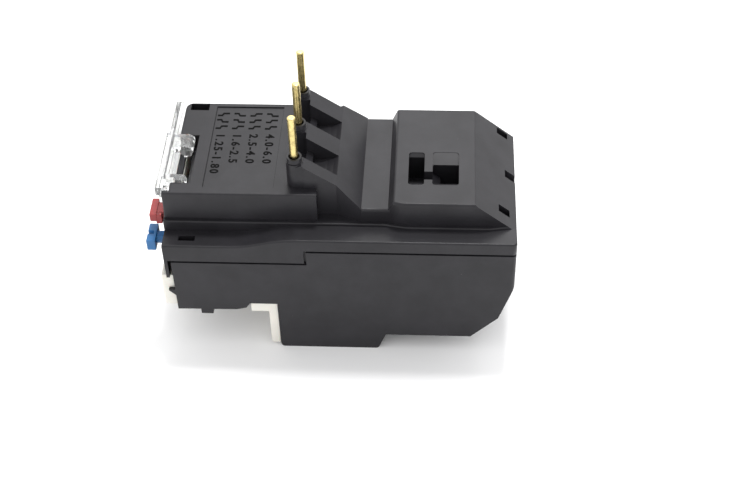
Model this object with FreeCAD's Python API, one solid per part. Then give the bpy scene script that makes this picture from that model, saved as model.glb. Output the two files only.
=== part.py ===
import FreeCAD, Part
import math
import os

# Three-pole plug-in thermal overload relay. Millimetres, +Z up along the plug pins, -Y is the
# operator's front, +X the operator's right. The origin is under the middle of the box, on its base.

# Overall body
WIDTH = 45.0
OVERALL_DEPTH = 100.2
BODY_DEPTH = 94.9
WALL = 1.8
GAP = 0.12          # between housing and cover
SLIP = 0.05         # between a piece and the hole it sits or moves in
LAP = 0.2           # by which the blocks of one moulding run into each other
HALF_WIDTH = WIDTH / 2
INNER_X = HALF_WIDTH - WALL
REAR = OVERALL_DEPTH / 2
FRONT = REAR - BODY_DEPTH

# Lower housing
BASE_FRONT = FRONT + 1.8
BASE_INNER_FRONT = BASE_FRONT + WALL
PARTING_FRONT = 33.35
PARTING_REAR = 38.0
PARTING_STEP = -6.2
REBATE_HEIGHT = 0.5
REBATE_DEPTH = 0.9
FRONT_FLOOR = 14.9
RECESS_ROOF = 17.6
RECESS_FRONT = -22.65
BLOCK_FRONT = -14.95
BLOCK_REAR = 12.75
RAISED_FLOOR = 5.8
CHAMBER_FLOOR = 19.4
CHAMBER_FRONT = -24.5
CHAMBER_REAR = -1.7
ROOM_TOP = PARTING_REAR + 2
HEATER_WALL_X = [-8.5, 4.5]
FOOT_BOTTOM = 12.85
FOOT_FRONT = -36.6
FOOT_REAR = -33.2
FOOT_WIDTH = 3.4

# Top cover
LEDGE_FRONT = 39.5
LEDGE_REAR = 42.3
RISE_START = -28.65
RISE_END = -7.65
PLINTH_RIGHT = 16.4
PLINTH_EDGE = 1.0
PLINTH_TOP = LEDGE_REAR + 0.7
DECK_TOP = 52.2
DECK_RIGHT = 15.3
DECK_REAR = -3.15
FACE_FRONT = -42.65
FACE_RIGHT = 11.9
CHEEK_LEFT = 14.2
CHEEK_FRONT = FRONT + 0.3
CHEEK_BEND = 47.2
SADDLE_TOP = 47.4
SADDLE_FRONT = 8.65
SADDLE_REAR = 15.75
HUMP_TOP = 50.6
HUMP_FRONT = 17.2
HUMP_REAR = 38.75
HUMP_RIGHT = 16.4
SLOPE_LOW = 41.2
SLOPE_FOOT = HUMP_REAR + (REAR - HUMP_REAR) * (HUMP_TOP - LEDGE_REAR) / (HUMP_TOP - SLOPE_LOW)
WEDGE_TOP = 53.6
WEDGE_TOP_Y = 2.05
WEDGE_LEFT = -20.5
WEDGE_RIGHT = 12.7
SKIRT_BOTTOM = 27.4
SKIRT_WALL = 0.9
SILL_TOP = 34.4
PANEL_X = (-20.96, 12.54)
PANEL_Y = (-33.75, -14.75)
PANEL_DEPTH = 0.3
HOOK_FRONT_Y = (20.85, 25.15)
HOOK_REAR_Y = (27.35, 34.45)
HOOK_WELL_Y = 29.5
HOOK_CHANNEL_X = (3.3, 6.5)
HOOK_FLOOR = 42.2
HOOK_SHELF = 46.0
HOOK_NEAR = 7.2

# Latch tongues of the housing and their slots in the cover
NEAR_TONGUE_X = (18.7, 19.9)
NEAR_TONGUE_Y = (-40.2, -36.6)
NEAR_SLOT_X = (18.4, 20.2)
NEAR_SLOT_Y = (-40.65, -36.15)
LEFT_TONGUE_X = (-20.55, -19.45)
LEFT_TONGUE_Y = (-40.6, -36.5)
LEFT_SLOT_X = (-21.9, -19.2)
LEFT_SLOT_Y = (-41.15, -35.95)
REAR_TONGUES_X = [(10.2, 12.2), (-5.5, -3.1), (-20.55, -19.7)]
REAR_SLOTS_X = [(9.9, 12.5), (-21.8, -19.4)]
REAR_SLOTS_Y = (45.2, 48.2)
MIDDLE_SLOT_X = (-5.7, -2.9)
MIDDLE_SLOT_Y = 47.2

# Plug pins and their posts
PIN_MID_X = -3.6
PIN_PITCH = 13.8
PIN_Y = -8.85
PIN_R = 1.075
PIN_TIP = 74.6
PIN_NECK_R = 0.8
PIN_SHANK_R = 1.45
PIN_COLLAR_R = 2.3
POST_MOUTH = 61.5
POST_STEP = 60.0
POST_R = 2.3
POST_RING_R = 2.0
POST_BORE_R = 1.5
ARM_TOP = 59.9
ARM_TOP_Y = -6.85
ARM_SIDES = [(-19.35, -13.1), (-5.6, 0.9), (8.7, 12.7)]
PIN_X = [PIN_MID_X + k * PIN_PITCH for k in (-1, 0, 1)]

# Window, dial plate and buttons on the front
HINGE_Y = -40.2
HINGE_Z = 51.0
HINGE_R = 1.8
HINGE_PIN_R = 1.0
NOTCH_LEFT = -8.4
NOTCH_RIGHT = 11.1
NOTCH_REAR = -37.15
NOTCH_FLOOR = 47.6
WINDOW_FRONT = -45.5
WINDOW_BACK = -44.1
WINDOW_LEFT = -21.8
WINDOW_RIGHT = 14.1
WINDOW_BOTTOM = 34.7
WINDOW_TOP = 53.0
WINDOW_EAR = 49.6
WINDOW_GRIP = 0.8
PLATE_LEFT = -19.7
PLATE_RIGHT = 6.6
PLATE_BOTTOM = 34.7
PLATE_TOP = 46.4
PLATE_FRONT = -43.3
PLATE_BACK = FACE_FRONT + WALL
DIAL_X = -10.0
DIAL_Z = 40.6
DIAL_R = 4.9
DIAL_PROUD = 0.3
DIAL_SHAFT_R = 1.8
FLAG_X = 3.0
FLAG_Z = 41.5
STOP_X = 10.9
STOP_Z = 41.2
STOP_HALF = 3.2
STOP_STEM_HALF = 2.0
STOP_FRONT = -48.95
STOP_STEM_END = -37.0
STOP_SEAT = -29.8
RESET_X = 14.3
RESET_Z = 34.9
RESET_FRONT = -REAR
RESET_SHAFT_R = 1.7
RESET_FLAT = 1.3
RESET_SHAFT_END = -36.0
RESET_SEAT = -30.6
RESET_COLLAR_END = -39.35
RESET_GROOVE_Y = -39.15
RESET_GROOVE = 0.8

# Terminals
LOAD_X = [-14.0, 0.0, 14.0]
LOAD_Z = 9.0
LOAD_CELL = 5.8
LOAD_ROOM_FRONT = -13.0
LOAD_ROOM_TOP = 16.5
LOAD_SCREW_R = 2.0
BUSBAR_FRONT = -7.2
BUSBAR_BACK = -5.4
BUSBAR_HALF = 3.4
BUSBAR_T = 1.6
SHROUD_FRONT = -17.65
SHROUD_BOTTOM = 1.0
SHROUD_BAR = 13.9
AUX_X = [-16.2, -5.4, 5.4, 16.2]
AUX_Z = 22.0
AUX_CELL = 4.2
AUX_SCREW_R = 1.5
AUX_PLATE_FRONT = -37.0
AUX_PLATE_BACK = -36.0
AUX_STRIP_FRONT = -46.7

# Heaters, bimetals and trip gear
HEATER_X = [-15.0, -2.0, 11.0]
STRIP_T = 0.8
STRIP_BOTTOM = 22.5
STRIP_TOP = 28.5
STRIP_TIP = 0.4
WINDING_BOTTOM = 21.0
WINDING_TOP = 30.0
WINDING_FRONT = 9.0
RIBBON_T = 0.5
ROOT_Y = 43.2
STRAP_Z = 38.8
STRAP_T = 1.0
STRAP_HALF = 2.3
TRAVEL = 1.8
SLIDE_LEFT = -18.5
SLIDE_RIGHT = 15.9
SLIDE_BOTTOM = 21.8
SLIDE_TOP = 31.2
SLIDE_T = 1.2
PUSH_Y = 1.4
DIFFERENTIAL_Y = 3.2
TRIP_X = 17.6
TRIP_Z = 35.0
TRIP_PIN_R = 0.8
TRIP_PIN_FRONT = -28.0
TRIP_PIN_REAR = 7.6
CROSSBAR_FRONT = -25.5
CROSSBAR_BACK = -22.5
CROSSBAR_HALF = 15.7
CROSSBAR_BOTTOM = 22.0
CROSSBAR_TOP = 31.5
CONTACT_X = [-10.8, 10.8]
CONTACT_Y = -27.4
CONTACT_R = 1.0
CONTACT_SPREAD = 3.6
BRIDGE_Z = [29.8, 24.1]
BRIDGE_T = 0.8
TONGUE_Z = 26.0
CARRIER_SPRING_Y = -24.0

V = FreeCAD.Vector


def box(x0, x1, y0, y1, z0, z1):
    """Block between two corners."""
    return Part.makeBox(x1 - x0, y1 - y0, z1 - z0, V(x0, y0, z0))


def rod(radius, start, end):
    """Round bar between two points."""
    span = end - start
    return Part.makeCylinder(radius, span.Length, start, span)


def depth_rod(radius, x, z, y0, y1):
    """Round bar along the depth."""
    return rod(radius, V(x, y0, z), V(x, y1, z))


def prism(corners, along):
    """Flat polygon pushed along a vector."""
    return Part.Face(Part.makePolygon(corners + corners[:1])).extrude(along)


def side_prism(points, x0, x1):
    """Outline of (Y, Z) corners across the width."""
    return prism([V(x0, y, z) for y, z in points], V(x1 - x0, 0, 0))


def front_prism(points, y0, y1):
    """Outline of (X, Z) corners along the depth."""
    return prism([V(x, y0, z) for x, z in points], V(0, y1 - y0, 0))


def plan_prism(points, z0, z1):
    """Outline of (X, Y) corners upwards."""
    return prism([V(x, y, z0) for x, y in points], V(0, 0, z1 - z0))


def joined(shapes):
    return shapes[0].multiFuse(shapes[1:]).removeSplitter()


def cut(shape, tools):
    return shape.cut(Part.makeCompound(tools))


def rounded(shape, radius, wanted):
    """Fillet the edges for which wanted(edge centre, edge) is true."""
    edges = [e for e in shape.Edges if wanted(e.CenterOfMass, e)]
    return shape.makeFillet(radius, edges)


def near(a, b):
    return abs(a - b) < 0.01


def save(name, shape):
    """One file per piece, with a plain count of what is in it."""
    solids = shape.Solids
    if not solids or not shape.isValid():
        raise ValueError(name + " is not a sound solid")
    shape = solids[0] if len(solids) == 1 else Part.makeCompound(solids)
    shape.exportStep("parts/" + name + ".step")
    print(name, len(solids), round(shape.Volume, 1))


# Lower housing

def base_outline():
    """Side view of the lower housing: stepped underside, chamfered rear, stepped top edge."""
    top_front = PARTING_FRONT - GAP
    top_rear = PARTING_REAR - GAP
    step = PARTING_STEP + GAP
    return [
        (BASE_FRONT, top_front), (BASE_FRONT, FRONT_FLOOR), (-26.5, FRONT_FLOOR + 0.2),
        (-23.8, FRONT_FLOOR + 0.9), (RECESS_FRONT, RECESS_ROOF), (BLOCK_FRONT, RECESS_ROOF),
        (BLOCK_FRONT, 0), (BLOCK_REAR, 0), (BLOCK_REAR + 2.2, RAISED_FLOOR),
        (HUMP_REAR, RAISED_FLOOR), (46.15, 13.55), (REAR, 25.95),
        (REAR, top_rear), (step, top_rear), (step, top_front),
    ]


def base_shell():
    outer = side_prism(base_outline(), -HALF_WIDTH, HALF_WIDTH)
    outer = rounded(outer, 1.2, lambda c, e: near(c.x, 0) and near(c.z, 0))
    outer = rounded(outer, 1.0, lambda c, e: near(abs(c.x), HALF_WIDTH) and near(c.y, REAR))
    floor = RAISED_FLOOR + WALL
    heater_room = side_prism([
        (-WALL, WALL), (BLOCK_REAR - 1.3, WALL), (BLOCK_REAR + 0.95, floor),
        (HUMP_REAR - 0.7, floor), (44.7, 14.3), (REAR - WALL, 26.4),
        (REAR - WALL, ROOM_TOP), (-WALL, ROOM_TOP),
    ], -INNER_X, INNER_X)
    trip_room = box(-INNER_X, INNER_X, CHAMBER_FRONT, CHAMBER_REAR, CHAMBER_FLOOR, ROOM_TOP)
    contact_room = box(-INNER_X, INNER_X, BASE_INNER_FRONT, CHAMBER_FRONT, FRONT_FLOOR + WALL, ROOM_TOP)
    return cut(outer, [heater_room, trip_room, contact_room])


def heater_partition(x):
    """Wall between two heater rooms, with the sill and pillar that guide the slides."""
    left = x - 0.8
    right = x + 0.8
    rear = REAR - 1
    sill = SLIDE_BOTTOM - 0.3
    lower = box(left, right, -WALL, rear, WALL / 2, sill)
    upper = box(left, right, TRIP_PIN_REAR - 0.6, rear, sill - LAP, PARTING_REAR - 0.5)
    pillar = box(left, right, -WALL, PUSH_Y - 0.3, sill - LAP, SLIDE_TOP + 0.8)
    return [lower, upper, pillar]


def side_tongue(sides, wall_x, ends, tip):
    """Latch tongue that springs from a side wall and stands up into a slot of the cover."""
    root = box(min(*sides, wall_x), max(*sides, wall_x), *ends, 28, PARTING_FRONT - 0.5)
    return root.fuse(box(*sides, *ends, PARTING_FRONT - 1, tip))


def rear_tongue(x0, x1):
    """Latch tongue on the rear wall."""
    front = REAR - WALL - 1.45
    root = box(x0, x1, front, REAR - WALL + LAP, 28, PARTING_REAR - 0.5)
    return root.fuse(box(x0, x1, front, REAR - WALL - 0.15, PARTING_REAR - 1, LEDGE_REAR - 2.1))


def trip_bearing(y0, y1):
    """Upright in which one end of the trip pin turns."""
    left = TRIP_X - 1.5
    foot = box(left, INNER_X + LAP, y0, y1, CHAMBER_FLOOR - LAP, PARTING_FRONT - 0.5)
    head = box(left, INNER_X - 0.15, y0, y1, PARTING_FRONT - 1, TRIP_Z + 2.0)
    return foot.fuse(head).cut(depth_rod(TRIP_PIN_R + SLIP, TRIP_X, TRIP_Z, y0 - 1, y1 + 1))


def load_cell(x):
    """Wire room of one load terminal: open below and to the front, with slots for its busbar."""
    left = x - LOAD_CELL
    right = x + LOAD_CELL
    half = BUSBAR_HALF + SLIP
    screw = depth_rod(LOAD_SCREW_R + 0.3, x, LOAD_Z, BUSBAR_BACK - 1, 0)
    room = box(left, right, LOAD_ROOM_FRONT, BUSBAR_BACK, -1, LOAD_ROOM_TOP)
    mouth = box(left, right, BLOCK_FRONT - 1, LOAD_ROOM_FRONT, 2.0, LOAD_ROOM_TOP)
    slot = box(x - half, x + half, BUSBAR_FRONT - SLIP, BUSBAR_BACK + SLIP,
               LOAD_ROOM_TOP - 0.5, CHAMBER_FLOOR + 0.6)
    return [screw, room, mouth, slot]


def aux_cell(x):
    """Wire entry from below and screw window to the front of one auxiliary terminal."""
    left = x - AUX_CELL
    right = x + AUX_CELL
    entry = box(left, right, BASE_INNER_FRONT - 0.4, AUX_PLATE_FRONT + SLIP, FRONT_FLOOR - 2, AUX_Z - 4)
    window = box(left, right, BASE_FRONT - 1, BASE_INNER_FRONT, AUX_Z - 4.4, AUX_Z + 4.6)
    return [entry, window]


def front_clip(x):
    """Hook on the housing's front edge that holds the auxiliary strip."""
    tip = BASE_FRONT - 1.75
    return side_prism([(BASE_FRONT, 20.4), (tip, 22.2), (tip, 22.6), (BASE_FRONT, 22.6)], x, x + 1.1)


def front_foot(x):
    """Small rounded foot under a side wall."""
    foot = box(x, x + FOOT_WIDTH, FOOT_FRONT, FOOT_REAR, FOOT_BOTTOM, FRONT_FLOOR + 0.3)
    return rounded(foot, 0.6, lambda c, e: near(c.z, FOOT_BOTTOM))


def base_housing():
    limits = side_prism(base_outline(), -HALF_WIDTH, HALF_WIDTH)
    walls = []
    for x in HEATER_WALL_X:
        walls += heater_partition(x)
    for x in (CONTACT_X[0], 0.0, CONTACT_X[1]):
        walls.append(box(x - 0.8, x + 0.8, BASE_FRONT + 1, AUX_PLATE_BACK + 1.5, FRONT_FLOOR + 1, 27))
    for side in (-1, 1):
        x = side * (CROSSBAR_HALF + 0.8)
        walls.append(box(x - 0.6, x + 0.6, CROSSBAR_FRONT, CROSSBAR_BACK, CHAMBER_FLOOR - 3,
                         CROSSBAR_TOP - 0.5))
    walls = [w.common(limits) for w in walls]
    clips = [front_clip(-HALF_WIDTH), front_clip(HALF_WIDTH - 1.1)]
    feet = [front_foot(-HALF_WIDTH), front_foot(HALF_WIDTH - FOOT_WIDTH)]
    tongues = [
        side_tongue(NEAR_TONGUE_X, INNER_X + LAP, NEAR_TONGUE_Y, LEDGE_FRONT - 4),
        side_tongue(LEFT_TONGUE_X, -INNER_X - LAP, LEFT_TONGUE_Y, DECK_TOP - 5),
    ] + [rear_tongue(*sides) for sides in REAR_TONGUES_X]
    bearings = [trip_bearing(TRIP_PIN_FRONT, TRIP_PIN_FRONT + 1.7),
                trip_bearing(TRIP_PIN_REAR - 1.6, TRIP_PIN_REAR)]
    solid = joined([base_shell()] + walls + clips + feet + tongues + bearings)
    holes = [box(RESET_X - 3.1, RESET_X + 3.1, BASE_FRONT - 1, BASE_INNER_FRONT + 0.3, RESET_Z - 3,
                 ROOM_TOP)]
    for x in LOAD_X:
        holes += load_cell(x)
    for x in AUX_X:
        holes += aux_cell(x)
    return cut(solid, holes)


# Top cover

def ledge_body():
    """Full-width lower part of the cover; its top rises from front to rear in a soft S."""
    left = -HALF_WIDTH
    middle = (RISE_START + RISE_END) / 2
    rise = Part.BezierCurve()
    rise.setPoles([V(left, RISE_START, LEDGE_FRONT), V(left, middle, LEDGE_FRONT),
                   V(left, middle, LEDGE_REAR), V(left, RISE_END, LEDGE_REAR)])
    line = Part.makePolygon([V(left, y, z) for y, z in (
        (RISE_END, LEDGE_REAR), (REAR, LEDGE_REAR), (REAR, PARTING_REAR), (PARTING_STEP, PARTING_REAR),
        (PARTING_STEP, PARTING_FRONT), (FRONT, PARTING_FRONT), (FRONT, LEDGE_FRONT),
        (RISE_START, LEDGE_FRONT),
    )])
    body = Part.Face(Part.Wire([rise.toShape()] + line.Edges)).extrude(V(WIDTH, 0, 0))
    body = rounded(body, 1.0, lambda c, e: near(abs(c.x), HALF_WIDTH) and near(c.y, REAR))
    body = rounded(body, 0.5, lambda c, e: near(c.x, HALF_WIDTH) and c.z > PARTING_REAR + 1)
    return body.cut(rear_slope(HUMP_RIGHT))


def plinth_body():
    """Level step along the foot of the upper walls; it swells round the hump and ends in a point."""
    swell = HUMP_RIGHT + PLINTH_EDGE
    body = plan_prism([
        (WEDGE_LEFT, FRONT), (PLINTH_RIGHT, FRONT), (PLINTH_RIGHT, SADDLE_REAR - 1.5),
        (swell, SADDLE_REAR + 5), (swell, HUMP_REAR + 4), (HUMP_RIGHT, SLOPE_FOOT), (WEDGE_LEFT, SLOPE_FOOT),
    ], LEDGE_FRONT - 1, PLINTH_TOP)
    body = rounded(body, 0.35, lambda c, e: near(c.z, PLINTH_TOP) and c.x > DECK_RIGHT)
    return body.cut(rear_slope(HALF_WIDTH))


def rear_slope(right):
    """Space above the hump's rear slope, up to a given side."""
    top = HUMP_TOP + 1
    return side_prism([(HUMP_REAR, HUMP_TOP), (REAR, SLOPE_LOW), (REAR + 1, SLOPE_LOW), (REAR + 1, top),
                       (HUMP_REAR, top)], -HALF_WIDTH - 1, right)


def deck_body():
    """Chart deck with a rounded left front corner and soft top edges."""
    body = box(-HALF_WIDTH, DECK_RIGHT, FACE_FRONT, DECK_REAR, LEDGE_FRONT - 1, DECK_TOP)
    body = rounded(body, 2.2, lambda c, e: near(c.x, -HALF_WIDTH) and near(c.y, FACE_FRONT))
    return rounded(body, 0.5, lambda c, e: near(c.z, DECK_TOP) and not near(c.y, DECK_REAR))


def deck_cheek():
    """Drafted rib that carries the deck's near wall past the recessed front face."""
    body = side_prism([
        (FACE_FRONT + 2, LEDGE_FRONT - 1), (FACE_FRONT + 2, DECK_TOP), (CHEEK_FRONT, DECK_TOP),
        (CHEEK_FRONT, CHEEK_BEND), (FRONT, LEDGE_FRONT + 1), (FRONT, LEDGE_FRONT - 1),
    ], CHEEK_LEFT, DECK_RIGHT)
    body = rounded(body, 0.7, lambda c, e: near(c.z, DECK_TOP) and near(c.y, CHEEK_FRONT))
    return rounded(body, 0.5, lambda c, e: near(c.x, DECK_RIGHT) and c.y < FACE_FRONT + 1.9
                   and c.z > LEDGE_FRONT)


def saddle_body():
    """Low bridge between wedge and hump, with soft side edges."""
    body = box(-HALF_WIDTH, DECK_RIGHT, SADDLE_FRONT, HUMP_FRONT + WALL, LEDGE_FRONT, SADDLE_TOP)
    middle = (SADDLE_FRONT + HUMP_FRONT + WALL) / 2
    return rounded(body, 0.6, lambda c, e: near(c.z, SADDLE_TOP) and near(c.y, middle))


def hump_body():
    """Latch hump: leaning front wall, near corner bent in plan, rear slope, soft top edges."""
    bend = Part.Arc(V(DECK_RIGHT - 0.3, SADDLE_REAR, LEDGE_FRONT),
                    V(HUMP_RIGHT - 0.36, SADDLE_REAR + 2.4, LEDGE_FRONT),
                    V(HUMP_RIGHT, SADDLE_REAR + 5.0, LEDGE_FRONT)).toShape()
    line = Part.makePolygon([bend.Vertexes[-1].Point] + [V(x, y, LEDGE_FRONT) for x, y in (
        (HUMP_RIGHT, REAR), (-HALF_WIDTH, REAR), (-HALF_WIDTH, SADDLE_REAR),
    )] + [bend.Vertexes[0].Point])
    body = Part.Face(Part.Wire([bend] + line.Edges)).extrude(V(0, 0, HUMP_TOP - LEDGE_FRONT))
    lean = side_prism([(SADDLE_REAR, SADDLE_TOP), (HUMP_FRONT, HUMP_TOP), (HUMP_FRONT, HUMP_TOP + 1),
                       (SADDLE_REAR - 1, HUMP_TOP + 1), (SADDLE_REAR - 1, SADDLE_TOP)],
                      -HALF_WIDTH - 1, HALF_WIDTH)
    body = cut(body, [rear_slope(HALF_WIDTH), lean])
    return rounded(body, 0.8, lambda c, e: near(c.z, HUMP_TOP) and not near(c.x, -HALF_WIDTH))


def wedge_body():
    """Sloping back of the pin arms, flared towards the saddle; a ramp leads up to it between the arms."""
    front = DECK_REAR - 2
    plan = [
        (WEDGE_RIGHT, front), (WEDGE_RIGHT, WEDGE_TOP_Y), (DECK_RIGHT, SADDLE_FRONT),
        (-HALF_WIDTH, SADDLE_FRONT), (WEDGE_LEFT, WEDGE_TOP_Y), (WEDGE_LEFT, front),
    ]
    side = [
        (front, LEDGE_FRONT), (front, DECK_TOP), (DECK_REAR, DECK_TOP), (DECK_REAR + 2.2, DECK_TOP + 0.25),
        (DECK_REAR + 3.9, DECK_TOP + 0.75), (WEDGE_TOP_Y, WEDGE_TOP), (SADDLE_FRONT, SADDLE_TOP),
        (SADDLE_FRONT, LEDGE_FRONT),
    ]
    return plan_prism(plan, LEDGE_FRONT, POST_MOUTH).common(side_prism(side, -HALF_WIDTH, DECK_RIGHT))


def pin_post(x, left, right):
    """Stepped round post round one pin, with the arm that braces it to the wedge."""
    low = DECK_TOP - 2
    arm = side_prism([
        (PIN_Y + POST_R, low), (PIN_Y + POST_R, ARM_TOP - 0.2), (WEDGE_TOP_Y, WEDGE_TOP), (WEDGE_TOP_Y, low),
    ], left, right)
    neck = side_prism([
        (PIN_Y, low), (PIN_Y, ARM_TOP - 0.6), (ARM_TOP_Y, ARM_TOP), (PIN_Y + POST_R + LAP, ARM_TOP - 0.4),
        (PIN_Y + POST_R + LAP, low),
    ], max(left, x - POST_R), min(right, x + POST_R))
    post = rod(POST_R, V(x, PIN_Y, low), V(x, PIN_Y, POST_STEP))
    ring = rod(POST_RING_R, V(x, PIN_Y, POST_STEP - 1), V(x, PIN_Y, POST_MOUTH))
    return [arm, neck, post, ring]


def cross_rib(left, right):
    """Low rib that ties two neighbouring arms behind the posts."""
    front = PIN_Y + 2.3
    back = front + 1.7
    low = DECK_TOP - 1
    return side_prism([(front, low), (front, DECK_TOP + 2.8), (back, DECK_TOP + 1.9), (back, low)],
                      left - LAP, right + LAP)


def front_skirt():
    """Thin apron that hangs in front of the housing."""
    return box(-HALF_WIDTH, HALF_WIDTH, FRONT, FRONT + SKIRT_WALL, SKIRT_BOTTOM, PARTING_FRONT + 1)


def cover_cavity():
    """Room inside the cover, following its outside at one wall's distance."""
    top = DECK_TOP - WALL
    low = PARTING_FRONT - 3
    front = FACE_FRONT + WALL
    right = DECK_RIGHT - WALL
    saddle_under = SADDLE_TOP - WALL
    deck = box(-INNER_X, CHEEK_LEFT - WALL + 1, front, DECK_REAR - WALL, low, top)
    wedge = side_prism([
        (DECK_REAR - 3, low), (DECK_REAR - 3, top), (WEDGE_TOP_Y - LAP, top),
        (SADDLE_FRONT - 1.6, saddle_under), (SADDLE_REAR - 1.3, saddle_under), (SADDLE_REAR - 1.3, low),
    ], WEDGE_LEFT + WALL, WEDGE_RIGHT - WALL)
    saddle = box(-INNER_X, right, SADDLE_FRONT + 0.6, SADDLE_REAR - 1.3, low, saddle_under)
    hump = side_prism([
        (HUMP_FRONT + WALL, low), (HUMP_FRONT + WALL, HUMP_TOP - WALL),
        (HUMP_REAR - 0.9, HUMP_TOP - WALL), (SLOPE_FOOT - 0.5, LEDGE_REAR - WALL - LAP),
        (SLOPE_FOOT - 0.5, low),
    ], -INNER_X, HUMP_RIGHT - WALL)
    ledge_front = box(-INNER_X, INNER_X, front, RISE_END, low, LEDGE_FRONT - WALL)
    ledge_rear = box(-INNER_X, INNER_X, RISE_END - 0.1, REAR - WALL, low, LEDGE_REAR - WALL)
    return [deck, wedge, saddle, hump, ledge_front, ledge_rear]


def soft_slot(points, y0, y1):
    """Slot cut to an outline of (X, Z) corners, its upright corners rounded in plan."""
    xs = [x for x, z in points]
    plan = box(min(xs), max(xs), y0, y1, HOOK_FLOOR, HUMP_TOP + 1)
    plan = rounded(plan, 0.9, lambda c, e: near(c.z, (HOOK_FLOOR + HUMP_TOP + 1) / 2))
    return front_prism(points, y0, y1).common(plan)


def latch_recess():
    """H-shaped recess in the hump for the contactor's hook: sloped far ends, deep wells, near lead-in."""
    top = HUMP_TOP + 1
    lead = [(HOOK_NEAR, HUMP_TOP - 0.9), (HOOK_NEAR + 1.4, HUMP_TOP), (HOOK_NEAR + 1.4, top)]
    front_slot = soft_slot([(-4.4, top), (-4.4, HUMP_TOP - 0.2), (-3.4, HUMP_TOP - 0.9),
                            (-3.4, HOOK_FLOOR), (HOOK_NEAR, HOOK_FLOOR)] + lead, *HOOK_FRONT_Y)
    rear_slot = soft_slot([(-4.6, top), (-4.6, HUMP_TOP - 0.1), (-1.2, HUMP_TOP - 1.6),
                           (-1.2, HOOK_SHELF), (HOOK_NEAR, HOOK_SHELF)] + lead, *HOOK_REAR_Y)
    front, rear = HOOK_REAR_Y
    well = side_prism([
        (front, HOOK_SHELF + LAP), (front, HOOK_SHELF), (HOOK_WELL_Y, HOOK_SHELF - 1.6),
        (HOOK_WELL_Y, HOOK_FLOOR), (rear, HOOK_FLOOR), (rear, HOOK_SHELF + LAP),
    ], -1.2, HOOK_NEAR)
    channel = box(*HOOK_CHANNEL_X, HOOK_FRONT_Y[1] - LAP, front + LAP, HOOK_SHELF + 0.5, top)
    return [front_slot, rear_slot, well, channel]


def parting_rebate():
    """Shadow line along the cover's lower edge, on both sides and the rear."""
    lift = REBATE_HEIGHT
    band = [
        (FRONT - 1, PARTING_FRONT - 1), (PARTING_STEP + 1, PARTING_FRONT - 1),
        (PARTING_STEP + 1, PARTING_REAR - 1), (REAR + 1, PARTING_REAR - 1),
        (REAR + 1, PARTING_REAR + lift), (PARTING_STEP - lift, PARTING_REAR + lift),
        (PARTING_STEP - lift, PARTING_FRONT + lift), (FRONT + SKIRT_WALL, PARTING_FRONT + lift),
        (FRONT + SKIRT_WALL, PARTING_FRONT), (FRONT - 1, PARTING_FRONT),
    ]
    inner = HALF_WIDTH - REBATE_DEPTH
    sides = [side_prism(band, x, x + 1 + REBATE_DEPTH) for x in (-HALF_WIDTH - 1, inner)]
    back = box(-HALF_WIDTH, HALF_WIDTH, REAR - REBATE_DEPTH, REAR + 1, PARTING_REAR - 1, PARTING_REAR + lift)
    skirt = box(-HALF_WIDTH - 2, HALF_WIDTH + 2, FRONT - 2, FRONT + SKIRT_WALL, 0, PARTING_FRONT)
    return [tool.cut(skirt) for tool in sides] + [back]


def cover_openings():
    """Latch slots, chart panel, window notch, front openings and pin bores."""
    through = FACE_FRONT + 3
    top = DECK_TOP + 1
    tools = [
        box(*NEAR_SLOT_X, *NEAR_SLOT_Y, PARTING_FRONT, LEDGE_FRONT + 1),
        box(*LEFT_SLOT_X, *LEFT_SLOT_Y, DECK_TOP - 4.7, top),
        box(*MIDDLE_SLOT_X, MIDDLE_SLOT_Y, REAR + 1, SLOPE_LOW - 1.5, HUMP_TOP),
        box(*PANEL_X, *PANEL_Y, DECK_TOP - PANEL_DEPTH, top),
        box(-HALF_WIDTH - 1, FACE_RIGHT, FRONT - 1, FACE_FRONT, SILL_TOP, LEDGE_FRONT),
        box(-HALF_WIDTH - 1, CHEEK_LEFT, FRONT - 1, FACE_FRONT, LEDGE_FRONT - LAP, top),
        box(NOTCH_LEFT, NOTCH_RIGHT, FRONT - 1, NOTCH_REAR, NOTCH_FLOOR, top),
        box(NOTCH_LEFT + 1, NOTCH_RIGHT - 1, HINGE_Y - 0.8, HINGE_Y + 1.2, NOTCH_FLOOR - 4, top),
        rod(HINGE_PIN_R + SLIP, V(NOTCH_LEFT - 1.5, HINGE_Y, HINGE_Z),
            V(NOTCH_RIGHT + 1.5, HINGE_Y, HINGE_Z)),
        box(PLATE_LEFT - 0.1, PLATE_RIGHT + 0.1, FRONT - 1, PLATE_BACK, PLATE_BOTTOM - 0.1, PLATE_TOP + 0.1),
        box(STOP_X - STOP_STEM_HALF - LAP, STOP_X + STOP_STEM_HALF + LAP, FRONT - 1, through,
            STOP_Z - 1.9, STOP_Z + 1.9),
        depth_rod(2.25, RESET_X, RESET_Z, FRONT - 1, through),
    ]
    for sides in REAR_SLOTS_X:
        tools.append(box(*sides, *REAR_SLOTS_Y, LEDGE_REAR - 3.3, HUMP_TOP))
    for x in PIN_X:
        tools.append(rod(POST_BORE_R, V(x, PIN_Y, DECK_TOP - 0.5), V(x, PIN_Y, POST_MOUTH + 1)))
        tools.append(rod(PIN_NECK_R + SLIP, V(x, PIN_Y, DECK_TOP - 3), V(x, PIN_Y, DECK_TOP)))
    return tools


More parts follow.
